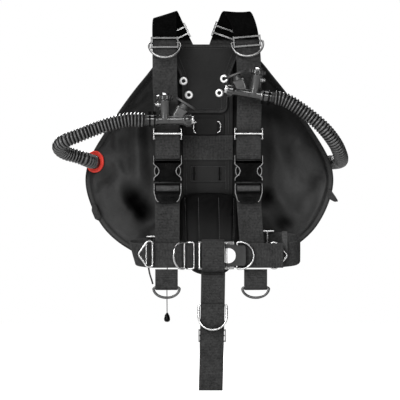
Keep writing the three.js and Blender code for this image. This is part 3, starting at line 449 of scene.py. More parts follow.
def cloth_paint(name, base, slot_name, pitch=1.5, rough=0.75, sheen=0.15, blotch=0.3):
    """Woven nylon whose threads run along X and Z."""
    p = Paint(name, slot_name)
    where = p.node("ShaderNodeTexCoord").outputs["Object"]
    split = p.node("ShaderNodeSeparateXYZ", {0: where}).outputs
    warp = stripes(p, split[0], pitch)
    weft = stripes(p, p.math("ADD", split[2], p.math("MULTIPLY", split[1], 0.7)), pitch)
    weave = p.math("ADD", p.math("MULTIPLY", warp, 0.5), p.math("MULTIPLY", weft, 0.5))
    cloudy = p.noise(9.0, 4.0)
    grain = p.noise(240.0, 4.0, rough=0.75)
    crease = p.noise(38.0, 6.0, rough=0.62)
    # Painted shade: an occlusion term darkens the cloth in its hollows and where other parts lie close.
    painted_occlusion = p.node("ShaderNodeAmbientOcclusion", {"Distance": 0.05}, samples=4).outputs["AO"]
    shade = p.math("ADD", p.math("MULTIPLY", weave, 0.25), p.math("MULTIPLY", grain, 0.6))
    shade = p.math("ADD", shade, p.math("MULTIPLY", cloudy, blotch + 0.35))
    color = p.mix(p.scaled(shade, 0.4, 1.0, 0, 1), grey(base * 0.4), grey(base * 1.65))
    # Painted shade in the hollows, from the occlusion term.
    color = p.mix(p.scaled(painted_occlusion, 0.35, 0.97, 0.95, 0.0), color, grey(base * 0.08))
    folds = p.bump(crease, 3.2, 0.45)
    p.set(
        Base_Color=p.lit(color, p.tone()),
        Roughness=p.scaled(grain, 0.3, 0.7, rough - 0.08, rough + 0.1),
        Specular_IOR_Level=p.math("MULTIPLY", p.tone(), 0.2, clamp=True),
        Sheen_Weight=p.math("MULTIPLY", p.tone(), sheen, clamp=True),
        Sheen_Roughness=0.5,
        Normal=p.bump(weave, 0.22, 0.7, folds),
    )
    return p.material


def velvet_paint(name, base):
    p = Paint(name, "pad_cloth")
    pile = p.noise(700.0, 4.0)
    cloudy = p.noise(14.0, 4.0)
    soft = p.noise(60.0, 5.0, rough=0.6)
    shade = p.math("ADD", p.math("MULTIPLY", pile, 0.6), p.math("MULTIPLY", cloudy, 0.6))
    color = p.mix(p.scaled(shade, 0.35, 0.9, 0, 1), grey(base * 0.5), grey(base * 1.7))
    p.set(
        Base_Color=p.lit(color, p.tone()),
        Roughness=p.scaled(pile, 0.3, 0.7, 0.6, 0.85),
        Specular_IOR_Level=p.math("MULTIPLY", p.tone(), 0.14, clamp=True),
        Normal=p.bump(pile, 0.25, 0.6, p.bump(soft, 1.6, 0.4)),
    )
    return p.material


def steel_paint(name, base, rough, slot_name="steel"):
    p = Paint(name, slot_name)
    where = p.node("ShaderNodeTexCoord").outputs["Object"]
    streak = p.node("ShaderNodeMapping", {"Vector": where, "Scale": (60.0, 60.0, 900.0)})
    fine = p.noise(1.0, 4.0, streak.outputs[0])
    smear = p.noise(55.0, 4.0)
    pits = p.noise(1400.0, 2.0)
    color = p.mix(p.scaled(smear, 0.35, 0.7, 0, 1), grey(base * 0.84), grey(base, 0.004))
    p.set(
        Base_Color=color,
        Metallic=1.0,
        Roughness=p.scaled(p.math("ADD", fine, smear), 0.6, 1.4, rough * 0.7, rough * 1.5),
        Normal=p.bump(p.math("ADD", fine, p.math("MULTIPLY", pits, 0.3)), 0.01, 0.3),
    )
    return p.material


def plastic_paint(name, base, rough, slot_name, color=None, grain_size=520.0, grain_depth=0.06, shine=0.5):
    p = Paint(name, slot_name)
    grain = p.noise(grain_size, 3.0)
    smear = p.noise(34.0, 4.0)
    scuff = p.noise(150.0, 6.0, rough=0.7)
    low = grey(base * 0.75) if color is None else (*[c * 0.85 for c in color], 1)
    high = grey(base * 1.3) if color is None else (*[min(1, c * 1.08) for c in color], 1)
    tint = p.mix(p.scaled(smear, 0.35, 0.7, 0, 1), low, high)
    tint = p.mix(p.scaled(scuff, 0.62, 0.8, 0, 0.2), tint, grey(base * 2.2 + 0.004))
    p.set(
        Base_Color=p.lit(tint, p.tone()),
        Roughness=p.scaled(p.math("ADD", smear, scuff), 0.7, 1.3, rough * 0.8, rough * 1.3),
        Specular_IOR_Level=p.math("MULTIPLY", p.tone(), shine, clamp=True),
        Normal=p.bump(grain, grain_depth, 0.5),
    )
    return p.material


WEBBING = webbing_paint("webbing_grey", 0.025)
WEBBING_DARK = webbing_paint("webbing_dark", 0.022)
WING = cloth_paint("wing_nylon", 0.02, "wing_cloth", blotch=0.5, rough=0.52, sheen=0.03)
PANEL = cloth_paint("panel_nylon", 0.0125, "panel_cloth", pitch=2.2, rough=0.8, sheen=0.02)
BINDING = webbing_paint("edge_binding", 0.019, "panel_cloth", rib=1.4)
PAD = velvet_paint("pad_cloth", 0.009)
THREAD = webbing_paint("thread", 0.07, "webbing", rib=0.8)
PAD_THREAD = webbing_paint("pad_thread", 0.11, "webbing", rib=0.8)
CORD = webbing_paint("cord", 0.03, "webbing", rib=1.2)
STEEL = steel_paint("polished_steel", 0.62, 0.22)
EYELET = steel_paint("eyelet_steel", 1.0, 0.5)
DULL_STEEL = steel_paint("dull_steel", 0.33, 0.3)
DARK_STEEL = steel_paint("coated_steel", 0.12, 0.4, "black_steel")
LEVER = plastic_paint("coated_lever", 0.035, 0.5, "steel", grain_size=420.0, grain_depth=0.1, shine=0.2)
PLASTIC = plastic_paint("moulded_black", 0.0015, 0.22, "black_plastic", shine=0.12)
# A lighter, glossier plastic for beads along the buckles' edges: painted highlights.
PLASTIC_HIGHLIGHT = plastic_paint("painted_edge_highlight", 0.2, 0.2, "black_plastic", grain_depth=0.01, shine=1.0)
BODY = plastic_paint("inflator_black", 0.004, 0.2, "black_plastic", grain_depth=0.01, shine=1.0)
RUBBER = plastic_paint(
    "hose_rubber", 0.017, 0.36, "hose_rubber", grain_size=900.0, grain_depth=0.005, shine=0.4
)
SOFT = plastic_paint(
    "soft_rubber", 0.035, 0.42, "soft_rubber", grain_size=700.0, grain_depth=0.02, shine=0.6
)
RED = plastic_paint("port_red", 0.3, 0.35, "port_plastic", color=(0.72, 0.05, 0.035), shine=0.3)


# ---------------------------------------------------------------- padded sheets
def star_grid(outline, centre, insets, spans):
    """Rings from a star-shaped outline to its centre: first at the given insets, then evenly.
    Returns the points of each ring and how far each lies inside the edge."""
    outline, centre = np.asarray(outline, float), np.asarray(centre, float)
    toward = centre - outline
    reach = np.linalg.norm(toward, axis=1)
    toward = toward / reach[:, None]
    last = insets[-1]
    rings, depths = [], []
    for inset in insets:
        rings.append(outline + toward * inset)
        depths.append(np.full(len(outline), float(inset)))
    for k in range(1, spans):
        inset = last + (reach - last) * k / spans
        rings.append(outline + toward * inset[:, None])
        depths.append(inset)
    return rings, depths, reach


def padded(outline, centre, insets, spans, front, back):
    """Points and faces of a closed sheet. front and back give Y from (x, z, inset, reach)."""
    rings, depths, reach = star_grid(outline, centre, insets, spans)
    n = len(outline)
    points, faces = [], []
    for side, surface in ((0, front), (1, back)):
        for r, (ring, depth) in enumerate(zip(rings, depths)):
            for j in range(n):
                x, z = ring[j]
                points.append((x, surface(x, z, depth[j], reach[j]), z))
        x, z = centre
        points.append((x, surface(x, z, float(np.mean(reach)), float(np.mean(reach))), z))
    per_side = n * len(rings) + 1
    for side in (0, 1):
        base = side * per_side
        for r in range(len(rings) - 1):
            for j in range(n):
                m = (j + 1) % n
                a, b = base + r * n + j, base + r * n + m
                faces.append([a, b, b + n, a + n])
        last = base + (len(rings) - 1) * n
        for j in range(n):
            faces.append([last + j, last + (j + 1) % n, base + per_side - 1])
    for j in range(n):
        m = (j + 1) % n
        faces.append([j, per_side + j, per_side + m, m])
    return np.array(points, float), faces


def rounded(outline, radius, steps=5):
    """The outline with round corners, as dense points."""
    pts = [np.array(p, float) for p in outline]
    out = []
    for i, here in enumerate(pts):
        before, after = pts[i - 1] - here, pts[(i + 1) % len(pts)] - here
        reach = min(radius, np.linalg.norm(before) / 2, np.linalg.norm(after) / 2)
        a, b = here + unit(before) * reach, here + unit(after) * reach
        for k in range(steps + 1):
            t = k / steps
            out.append(a * (1 - t) ** 2 + here * 2 * t * (1 - t) + b * t * t)
    return np.array(out)


def dense(outline, step):
    """The closed outline in nearly equal steps."""
    pts = np.asarray(outline, float)
    loop = np.vstack([pts, pts[:1]])
    path = np.column_stack([loop[:, 0], np.zeros(len(loop)), loop[:, 1]])
    return respace(path, step)[:-1][:, [0, 2]]


def sewn_plate(shape, outline, front_y, thick, seed, step=5.0, puff=0.5, tone=1.0, slot=0):
    """A flat sewn sheet with soft edges and a slightly uneven face."""
    outline = dense(outline, step)
    centre = outline.mean(0)
    round_edge = min(1.2, thick / 2)

    def front(x, z, inset, reach):
        edge = 1 - smoothstep(inset, 0, 2 * round_edge)
        swell = puff * (0.6 * bump(x, z, seed, 30) + 0.4 * bump(x, z, seed + 3, 11))
        return front_y + edge * round_edge - swell * (1 - edge)

    def back(x, z, inset, reach):
        edge = 1 - smoothstep(inset, 0, 2 * round_edge)
        return front_y + thick - edge * (thick - round_edge * 1.2)

    points, faces = padded(outline, centre, [0, 0.8, 1.8, 3.2], 9, front, back)
    return shape.add(points, faces, None, tone, slot)


# ---------------------------------------------------------------- wing
WING_X = 3.0
WING_CENTRE_Z = -40.0
WING_EDGE = [
    (0, 212),
    (78, 203),
    (136, 143),
    (197, 60),
    (248, -30),
    (250, -84),
    (210, -165),
    (128, -218),
    (0, -232),
]
FLANGE = 11.0  # width of the flat rim outside the wing's seam
RIM_HALF = 1.7  # half thickness of that rim
SEAM = 8.5  # how far inside the rim's edge the seam runs
LOBE_Y = 42.0  # depth of the middle of the wing's lobes


def wing_outline(step):
    half = curve([(x, 0, z) for x, z in WING_EDGE], 240)
    other = half[1:-1][::-1] * vec(-1, 1, 1)
    loop = np.vstack([half, other]) + vec(WING_X, 0, 0)
    return dense(loop[:, [0, 2]], step)


def near_axis(node_point, axis, points):
    """Distance of each point from a line through a point."""
    rel = points - node_point
    return np.linalg.norm(rel - np.outer(rel @ axis, axis), axis=1)


PORT_R = vec(-231, 33.55, -23.5)
PORT_R_AXIS = vec(-math.sin(math.radians(15)), -math.cos(math.radians(15)), 0)
COLLAR_AXIS = vec(-math.sin(math.radians(36)), -math.cos(math.radians(36)), 0)
PORT_L = vec(208, 59.7, -25)
VALVE = vec(-84, 49.1, -185)

# Soft folds in the front of the wing: start, end, height and half width. They run from the
# straps and the ports toward the rim.
FOLDS = [
    ((-126, 96), (-112, -100), -7.0, 12),
    ((-148, 74), (-140, -90), 8.0, 13),
    ((-172, 40), (-160, -120), -6.0, 12),
    ((-205, -10), (-150, -80), 6.0, 10),
    ((-214, -40), (-176, -150), -5.0, 13),
    ((-135, -150), (-205, -70), 7.0, 16),
    ((128, 110), (158, -40), 6.0, 15),
    ((150, 20), (225, -70), -7.0, 14),
    ((190, 40), (212, -130), 5.0, 14),
    ((120, -70), (190, -150), 7.0, 14),
    ((238, -50), (150, -165), -6.0, 12),
    ((114, 30), (124, -90), -7.0, 11),
]
# Hollows: middle, depth and radius.
HOLLOWS = [
    ((-139, -116), 20, 23),
    ((-161, -99), 11, 19),
    ((-126, -138), 10, 18),
    ((-147, -76), 5, 20),
    ((118, -94), 16, 17),
    ((151, -145), 9, 14),
    ((128, -112), 4, 15),
]


def hollow_depth(x, z):
    total = 0.0
    for centre, depth, radius in HOLLOWS:
        off = np.linalg.norm(vec(x, z) - vec(*centre)) + 6 * bump(x, z, 31.0, 22)
        total += depth * math.exp(-((off / radius) ** 2))
    return total


def fold_height(x, z):
    total = 0.0
    p = vec(x, z)
    for a, b, height, half in FOLDS:
        a, b = vec(*a), vec(*b)
        along = b - a
        t = float(np.dot(p - a, along) / np.dot(along, along))
        ends = smoothstep(t, -0.15, 0.25) * (1 - smoothstep(t, 0.75, 1.15))
        off = np.linalg.norm(p - a - along * t) + 5 * bump(x, z, height, 60)
        total += height * ends * math.exp(-((off / half) ** 2))
    return 1.3 * total - hollow_depth(x, z)


def wing_profile(x, z, inset, reach, side):
    lobe = smoothstep(abs(x - WING_X), 40, 120)
    mid = 23 + (LOBE_Y - 23) * lobe
    thick = 9 + (33 - 9) * lobe
    inner = max(0.0, (inset - FLANGE) / (reach - FLANGE))
    swell = math.sqrt(max(0.0, 1 - (1 - min(1, inner)) ** 2))
    rim = RIM_HALF * (1 - 0.45 * math.exp(-(((inset - SEAM) / 1.3) ** 2)))
    return mid + side * (rim + (thick - RIM_HALF) * swell * 0.97)


def simulate(piece, pinned, pressure, grow, cap, frames=20):
    """Inflates the cloth, holds the pinned vertices, and limits how far a point may go."""
    rest = np.array([v.co for v in piece.data.vertices])
    group = piece.vertex_groups.new(name="held")
    for index, weight in enumerate(pinned):
        if weight > 0.01:
            group.add([index], float(weight), "REPLACE")
    modifier = piece.modifiers.new("cloth", "CLOTH")
    cloth = modifier.settings
    cloth.quality = 4
    cloth.mass = 0.3
    cloth.tension_stiffness = cloth.compression_stiffness = 18
    cloth.shear_stiffness = 8
    cloth.bending_stiffness = 0.6
    cloth.use_pressure = True
    cloth.uniform_pressure_force = pressure
    cloth.shrink_min = -grow
    cloth.shrink_max = -grow
    cloth.vertex_group_mass = "held"
    cloth.effector_weights.gravity = 0
    modifier.collision_settings.use_collision = False
    scene = bpy.context.scene
    for number in range(1, frames + 1):
        scene.frame_set(number)
    graph = bpy.context.evaluated_depsgraph_get()
    evaluated = piece.evaluated_get(graph)
    moved = np.array([v.co for v in evaluated.data.vertices])
    piece.modifiers.remove(modifier)
    scene.frame_set(1)
    shift = moved - rest
    far = np.linalg.norm(shift, axis=1)
    limit = cap * MM
    factor = np.where(far > 1e-9, limit * np.tanh(far / limit) / np.maximum(far, 1e-9), 0)
    piece.data.vertices.foreach_set("co", (rest + shift * factor[:, None]).astype(np.float32).ravel())
    piece.data.update()


def set_points(piece, points):
    piece.data.vertices.foreach_set("co", (points * MM).astype(np.float32).ravel())
    piece.data.update()


def get_points(piece):
    co = np.zeros(len(piece.data.vertices) * 3, np.float32)
    piece.data.vertices.foreach_get("co", co)
    return co.reshape(-1, 3).astype(float) / MM


def build_wing():
    outline = wing_outline(7.0)
    insets = [0, 1.2, 3, 6, SEAM, FLANGE, 14, 19, 26]
    spans = 26
    sides = [lambda x, z, i, r, s=s: wing_profile(x, z, i, r, s) for s in (-1, 1)]
    points, faces = padded(outline, (WING_X, WING_CENTRE_Z), insets, spans, *sides)
    shape = Shape().add(points, faces)
    wing = place("wing_cover", shape, "vest", WING, ["wing_shell"], angle=80)
    rings = len(insets) + spans - 1
    n = len(outline)
    per_side = n * rings + 1
    inset = np.zeros(len(points))
    for side in (0, 1):
        for r, value in enumerate(insets):
            start = side * per_side + r * n
            inset[start : start + n] = value
    for side in (0, 1):
        start = side * per_side + len(insets) * n
        inset[start : (side + 1) * per_side] = 40
    # The cloth is darker in the seam. The tone also paints shade: in the hollows, in the creases of the
    # folds, and towards the top, where the cloth lies behind the shoulders; it paints light towards the
    # bottom.
    seam_tone = 1 - 0.6 * np.exp(-(((inset - SEAM) / 1.6) ** 2))
    # Painted shade in the hollows.
    deep = np.array([1 - 0.052 * hollow_depth(x, z) * (y < LOBE_Y) for x, y, z in points])
    # Painted shade towards the top, painted light towards the bottom.
    height = 0.34 + 0.81 * smoothstep(-points[:, 2], -130, 110)
    # Painted shade in the creases of the folds.
    crease = [1 + 0.035 * min(0.0, fold_height(x, z)) * (y < LOBE_Y) for x, y, z in points]
    tone = np.clip(seam_tone * deep * height * np.clip(crease, 0.6, 1), 0.04, 2)
    wing.data.attributes["tone"].data.foreach_set("value", tone.astype(np.float32))
    held = 1 - smoothstep(inset, FLANGE, FLANGE + 9)
    for at, axis in ((PORT_R, PORT_R_AXIS), (PORT_L, BACKWARD), (VALVE, BACKWARD)):
        held = np.maximum(held, 1 - smoothstep(near_axis(at, axis, points), 24, 40))
    held = np.maximum(held, 1 - smoothstep(np.abs(points[:, 0]), 45, 75))
    simulate(wing, held, 1.6, 0.05, 9)
    moved = get_points(wing)
    free = 1 - held
    front = np.arange(len(moved)) < per_side
    for i, (x, y, z) in enumerate(moved):
        small = 1.1 * bump(x, z, 5.0, 26) + 0.5 * bump(x, z, 9.0, 11)
        if front[i]:
            moved[i, 1] -= free[i] * (fold_height(x, z) + small)
        else:
            moved[i, 1] += free[i] * (2.2 * bump(x, z, 12.0, 60) + small)
    # The cloth lies flat on each flange of the bladder.
    flanges = ((PORT_R, COLLAR_AXIS, True), (PORT_L, BACKWARD, False), (VALVE, BACKWARD, False))
    for at, axis, is_front in flanges:
        off = near_axis(at, axis, moved)
        flat = (1 - smoothstep(off, 20, 33)) * (front if is_front else ~front)
        height = (moved - at) @ axis
        moved -= np.outer(flat * (height + 0.6), axis)
    set_points(wing, moved)
    modifier = wing.modifiers.new("fine", "SUBSURF")
    modifier.levels = modifier.render_levels = 1
    return wing


def build_wing_trim():
    """The edge tape, the seam's stitches and the small pull tabs."""
    outline = wing_outline(5.0)
    loop = np.array([(x, wing_profile(x, z, 0, 250, 0), z) for x, z in outline])
    tape = Shape().tube(loop, 2.1, 8, closed=True)
    place("wing_edge_tape", tape, "vest", BINDING, angle=60)
    seam = Shape()
    centre = vec(WING_X, WING_CENTRE_Z)
    inner = np.array([p + unit(centre - p) * 8.6 for p in outline])
    for side in (-1, 1):
        line = [(x, wing_profile(x, z, 8.6, 250, side) + side * 0.1, z) for x, z in inner]
        seam.stitches(line + [line[0]], vec(0, side, 0), 4.2, 0.45)
    place("wing_seam", seam, "vest", THREAD, angle=60)
    tabs = {
        "pull_tab_r": [
            (-238, -110), (-229, -112), (-219, -137), (-224, -144), (-232, -141), (-239, -124),
        ],
        "pull_tab_l": [(246, -80), (253, -82), (262, -95), (267, -104), (259, -105), (248, -99)],
    }
    for name, tab_outline in tabs.items():
        tab = Shape()
        for depth, shift in ((36.5, 0.0), (40.2, 1.0)):
            moved = [(x + shift, z - shift) for x, z in tab_outline]
            sewn_plate(tab, rounded(moved, 2), depth, 2.4, 17.0, step=2.0, puff=0.3)
        place(name, tab, "vest", WEBBING_DARK, angle=50)


build_wing()
build_wing_trim()


# ---------------------------------------------------------------- spine, panel and pad
def build_spine():
    low, high = box_mm("spine_panel")
    left, right, bottom, top = low[0], high[0], low[2], high[2]
    band_low, band_high = -20.5, 30.5  # edges of the cross band
    slots_x = (-28.5, 23.7)
    shape = Shape()
    plate = rounded([(left, bottom), (right, bottom), (right, top), (left, top)], 6)
    sewn_plate(shape, plate, 2.6, 3.6, 2.0, puff=0.35)
    # Tapes down both sides, the cross band, and the frame round the slots.
    for x0, x1 in ((left, left + 9), (right - 16, right - 7)):
        sewn_plate(shape, [(x0, bottom), (x1, bottom), (x1, top), (x0, top)], 1.9, 1.2, x0, puff=0.15)
    place("spine_cloth", shape, "vest", PANEL, ["spine_panel"], angle=50)

    band = Shape()
    at = np.array([(x, 1.15, (band_low + band_high) / 2) for x in (left, -20, 20, right)], float)
    across = np.tile(UP, (4, 1))
    band.ribbon(at, across, band_high - band_low, 1.9, 4.0, seed=4.2, curl=0.0)
    place("cross_band", band, "vest", WEBBING, angle=50)

    frame_shape = Shape()
    window = [(-37, -31), (38, -31), (38, -66), (-37, -66)]
    sewn_plate(frame_shape, rounded(window, 3), 1.5, 1.3, 6.0, puff=0.2)
    for x in slots_x:
        for s in (-1, 1):
            lip = [(x + s * 1.6, -35), (x + s * 3.6, -35), (x + s * 3.6, -61), (x + s * 1.6, -61)]
            sewn_plate(frame_shape, lip, 0.3, 1.4, 3.0, puff=0.0, step=3)
    sewn_plate(frame_shape, [(-46, -88), (46, -88), (46, -80), (-46, -80)], 1.4, 1.3, 8.0, puff=0.1)
    place("slot_frame", frame_shape, "vest", PANEL, angle=50)
    slots = Shape()
    for x in slots_x:
        slots.block((x - 2.0, 0.9, -61.5), (x + 2.0, 1.6, -34.5))
    place("slot_shadow", slots, "vest", PLASTIC)

    thread = Shape()
    for x in (left + 2, left + 7.4, right - 14.4, right - 8.6):
        for z0, z1 in ((bottom + 3, band_low - 2), (band_high + 2, 74)):
            thread.stitches([(x, 1.7, z0), (x, 1.7, z1)], FORWARD)
    for z in (band_low + 3, band_high - 3):
        thread.stitches([(left + 2, 0.1, z), (right - 2, 0.1, z)], FORWARD)
    for z in (-33.5, -63.5):
        thread.stitches([(-35, 1.3, z), (36, 1.3, z)], FORWARD)
    for x in (-35, 36):
        thread.stitches([(x, 1.3, -33.5), (x, 1.3, -63.5)], FORWARD)
    place("spine_thread", thread, "vest", THREAD, angle=60)

    # The dark band above, with the tab that holds the steel loop.
    dark = Shape()
    sewn_plate(dark, [(-48, 32), (34, 32), (34, 73), (-48, 73)], 1.2, 1.2, 9.0, puff=0.3)
    sewn_plate(dark, rounded([(-24, 31.5), (19, 31.5), (19, 64), (-24, 64)], 2), -4.4, 1.2, 9.5, puff=0.4)
    place("loop_tab", dark, "vest", PAD, angle=50)
    steel = Shape()
    loop = [(-29, 52), (-26.5, 56.5), (22, 58), (25, 53.5), (25, 41), (22, 37), (-26.5, 36), (-29, 40)]
    steel.tube(curve([(x, -1.4, z) for x, z in loop], 64, True), 1.55, 12, closed=True)
    place("bungee_loop", steel, "vest", STEEL, ["back_loop"], angle=60)


def build_upper_panel():
    shape = Shape()
    cx = middle("upper_panel")[0]
    shield = [(-75, 216), (-47, 143), (-46, 76), (46, 76), (47, 143), (75, 216)]
    outline = rounded([(cx + x, z) for x, z in shield], 16, 8)
    sewn_plate(shape, outline, -2.0, 3.8, 14.0, puff=0.6)
    place("shield_cloth", shape, "vest", PANEL, ["upper_panel"], angle=50)
    # A bound edge: tape folded round the rim.
    rim = dense(outline, 4.0)
    centre = vec(cx, 150)
    tape = Shape()
    sections = []
    for p in rim:
        inward = unit(centre - p)
        inner = p + inward * 5.5
        a = (p[0] - inward[0] * 0.5, p[1] - inward[1] * 0.5)
        sections.append(
            np.array(
                [
                    (inner[0], -2.7, inner[1]),
                    (p[0] + inward[0] * 0.8, -2.9, p[1] + inward[1] * 0.8),
                    (a[0], -1.4, a[1]),
                    (a[0], 1.0, a[1]),
                    (p[0] + inward[0] * 1.5, 1.7, p[1] + inward[1] * 1.5),
                    (inner[0], -1.2, inner[1]),
                ]
            )
        )
    tape.rings(sections, closed=True)
    place("shield_binding", tape, "vest", BINDING, angle=40)
    thread = Shape()
    for inset, y in ((4.2, -2.95), (8.5, -2.35)):
        line = [p + unit(centre - p) * inset for p in rim]
        thread.stitches([(x, y, z) for x, z in [*line, line[0]]], FORWARD)
    # Seams of the reinforcing under the diagonal edges.
    for s in (-1, 1):
        seam = [(cx + s * 34, -2.5, 84), (cx + s * 34, -2.5, 140), (cx + s * 58, -2.5, 204)]
        thread.stitches(seam, FORWARD)
    place("shield_thread", thread, "vest", THREAD, angle=60)
    flange = [
        (3.7, 1.6), (4.4, 0.9), (7.6, 0.7), (8.5, 0.1), (8.3, -0.5),
        (6.6, -1.35), (4.9, -1.5), (3.9, -1.0), (3.6, 0.2),
    ]
    hole = [(0.01, -0.1), (3.9, -0.1), (3.9, 0.6), (0.01, 0.6)]
    for node in ("grommet_upper_r", "grommet_lower_r", "grommet_upper_l", "grommet_lower_l"):
        x, _, z = middle(node)
        eyelet = Shape().lathe(flange, vec(x, -2.4, z), BACKWARD, 32, closed=True)
        eyelet.lathe(hole, vec(x, -1.6, z), BACKWARD, 24, slot=1)
        place(node.replace("grommet", "eyelet"), eyelet, "vest", [EYELET, PAD], [node], angle=50)


PAD_TOP = [(-50, -95), (-40, -91), (2, -87.5), (44, -91), (54, -95)]
PAD_BOTTOM = [(-49, -228), (-28, -249), (6, -256), (38, -249), (54, -228)]
PAD_LEFT = [(-50, -95), (-56, -103), (-57, -130), (-56, -195), (-49, -228)]
PAD_RIGHT = [(54, -95), (60, -103), (61.5, -130), (60, -195), (54, -228)]
# X of each channel at the top and at the bottom.
PAD_SEAMS = ((-19.5, -17.3), (21.6, 25.2), (-47.0, -43.0), (53.0, 50.0))


def four_sided(top, bottom, left, right, columns, rows):
    """A grid of (x, z) points between four boundary curves that meet at their ends."""
    top, bottom = (curve([(x, 0, z) for x, z in c], columns)[:, [0, 2]] for c in (top, bottom))
    left, right = (curve([(x, 0, z) for x, z in c], rows)[:, [0, 2]] for c in (left, right))
    grid = np.zeros((rows + 1, columns + 1, 2))
    for j in range(rows + 1):
        for i in range(columns + 1):
            s, t = i / columns, j / rows
            corners = (1 - s) * (1 - t) * top[0] + s * (1 - t) * top[-1]
            corners = corners + (1 - s) * t * bottom[0] + s * t * bottom[-1]
            grid[j, i] = (1 - t) * top[i] + t * bottom[i] + (1 - s) * left[j] + s * right[j] - corners
    return grid


def build_pad():
    columns, rows = 46, 58
    grid = four_sided(PAD_TOP, PAD_BOTTOM, PAD_LEFT, PAD_RIGHT, columns, rows)
    wide, tall = 112.0, 160.0
    points, held = [], []
    for side in (-1, 1):
        for j in range(rows + 1):
            for i in range(columns + 1):
                s, t = i / columns, j / rows
                inset = min(s * wide, (1 - s) * wide, t * tall, (1 - t) * tall)
                swell = math.sqrt(max(0.0, 1 - (1 - min(1, inset / 12)) ** 2))
                x, z = grid[j, i]
                points.append((x, -8.6 + side * (0.8 + 6.6 * swell), z))
                held.append(1.0 if inset < 2 else 0.0)
    faces = []
    per_side = (rows + 1) * (columns + 1)

    def at(side, j, i):
        return side * per_side + j * (columns + 1) + i

    for side in (0, 1):
        for j in range(rows):
            for i in range(columns):
                above, below = (at(side, k, i) for k in (j, j + 1))
                faces.append([above, above + 1, below + 1, below])
    rim = [(0, i) for i in range(columns)] + [(j, columns) for j in range(rows)]
    rim += [(rows, i) for i in range(columns, 0, -1)] + [(j, 0) for j in range(rows, 0, -1)]
    for a, b in zip(rim, rim[1:] + rim[:1]):
        faces.append([at(0, *a), at(0, *b), at(1, *b), at(1, *a)])
    # Painted shade towards the top and painted light towards the bottom of the cushion.
    tone = [0.3 + 1.2 * smoothstep(-z, 105, 215) for _, _, z in points]
    cushion = Shape().add(points, faces, None, tone)
    pad = place("lumbar_cushion", cushion, "vest", PAD, ["lumbar_pad"], angle=80)
    simulate(pad, held, 2.5, 0.03, 4)
    moved = get_points(pad)
    for k in range(per_side):
        x, y, z = moved[k]
        if held[k]:
            continue
        down = smoothstep(-z, 95, 235)
        fall = 0.0
        for top_x, bottom_x in PAD_SEAMS:
            seam_x = top_x + (bottom_x - top_x) * down
            fall += 3.6 * math.exp(-(((x - seam_x) / 2.2) ** 2)) * smoothstep(-z, 90, 104)
        for s in (-1, 1):
            for n, slope in enumerate((0.2, 0.42, 0.8)):
                # Wrinkles fan down from the upper corners.
                off = (x - 2 - s * (47 - 10 * n)) + s * slope * (-z - 100)
                fade = smoothstep(-z, 98, 108) * (1 - smoothstep(-z, 120, 146))
                fall += 1.0 * fade * math.exp(-((off / 3.2) ** 2))
        fall -= 0.7 * bump(x, z, 21.0, 13) + 1.2 * bump(x, z, 22.0, 42)
        moved[k, 1] += fall
    low, high = box_mm("lumbar_pad")
    moved[:, 1] = np.clip(moved[:, 1], low[1] - 2.0, high[1] + 0.5)
    set_points(pad, moved)
    front = moved[:per_side]
    modifier = pad.modifiers.new("fine", "SUBSURF")
    modifier.levels = modifier.render_levels = 1
    thread = Shape()
    for top_x, bottom_x in PAD_SEAMS:
        line = []
        for t in np.linspace(0, 1, 40):
            x, z = top_x + (bottom_x - top_x) * t, -97 - 134 * t
            near = np.argmin((front[:, 0] - x) ** 2 + (front[:, 2] - z) ** 2)
            line.append((x, front[near, 1] - 1.5, z))
        thread.stitches(line, FORWARD, 3.6, 0.6)
    place("pad_thread", thread, "vest", PAD_THREAD, angle=60)


build_spine()
build_upper_panel()
build_pad()


# ---------------------------------------------------------------- webbing
LONG = {"r": "right", "l": "left"}  # how the names of bodies and joints spell the sides
LOOP_R = 4.1  # radius at which a strap turns round a bar
BUCKLE_Y = middle("buckle_socket_r")[1]
BUCKLE_TOP = -15.0  # height of the sockets' bars
STRAP_Y = -46.5
BUCKLE_X = {side: middle(f"buckle_socket_{side}")[0] for side in ("r", "l")}
# The middle line of each shoulder strap: x, y, z and the angle it leans sideways.
SHOULDER = {
    "r": [
        (-47, 5, 194, 26),
        (-58, 5, 216, 26),
        (-76.5, 3, 256, 24),
        (-86.5, -12, 276, 19),
        (-88.5, -28, 270, 12),
        (-89, -36, 250, 4),
        (-88.5, -41, 215, 0),
        (-87.5, -45, 130, 0),
        (-82.4, STRAP_Y, 30, 0),
        (-82.4, STRAP_Y, BUCKLE_TOP, 0),
    ],
    "l": [
        (21.5, 5, 194, -20),
        (29, 5, 216, -20),
        (45, 2, 258, -18),
        (56, -12, 281, -6),
        (65, -28, 274, 14),
        (74.5, -36, 250, 12),
        (80.5, -41, 215, 4),
        (84.6, -45, 130, 1),
        (83, STRAP_Y, 30, 0),
        (83, STRAP_Y, BUCKLE_TOP, 0),
    ],
}


def leaning(knots, steps):
    """Points along a strap and the direction across it, from knots (x, y, z, lean)."""
    at = curve([k[:3] for k in knots], steps)
    lean = np.radians(curve([(k[3], i, 0) for i, k in enumerate(knots)], steps)[:, 0])
    return at, np.column_stack([np.cos(lean), np.zeros(len(lean)), np.sin(lean)])


def half_turn(x, y, z, radius, steps=12):
    angles = np.linspace(0, math.pi, steps + 1)
    return np.column_stack(
        [np.full(len(angles), x), y + radius * np.cos(angles), z - radius * np.sin(angles)]
    )


def level(path):
    """The sideways direction for every point of a strap that hangs straight."""
    return np.tile(SIDEWAYS, (len(path), 1))


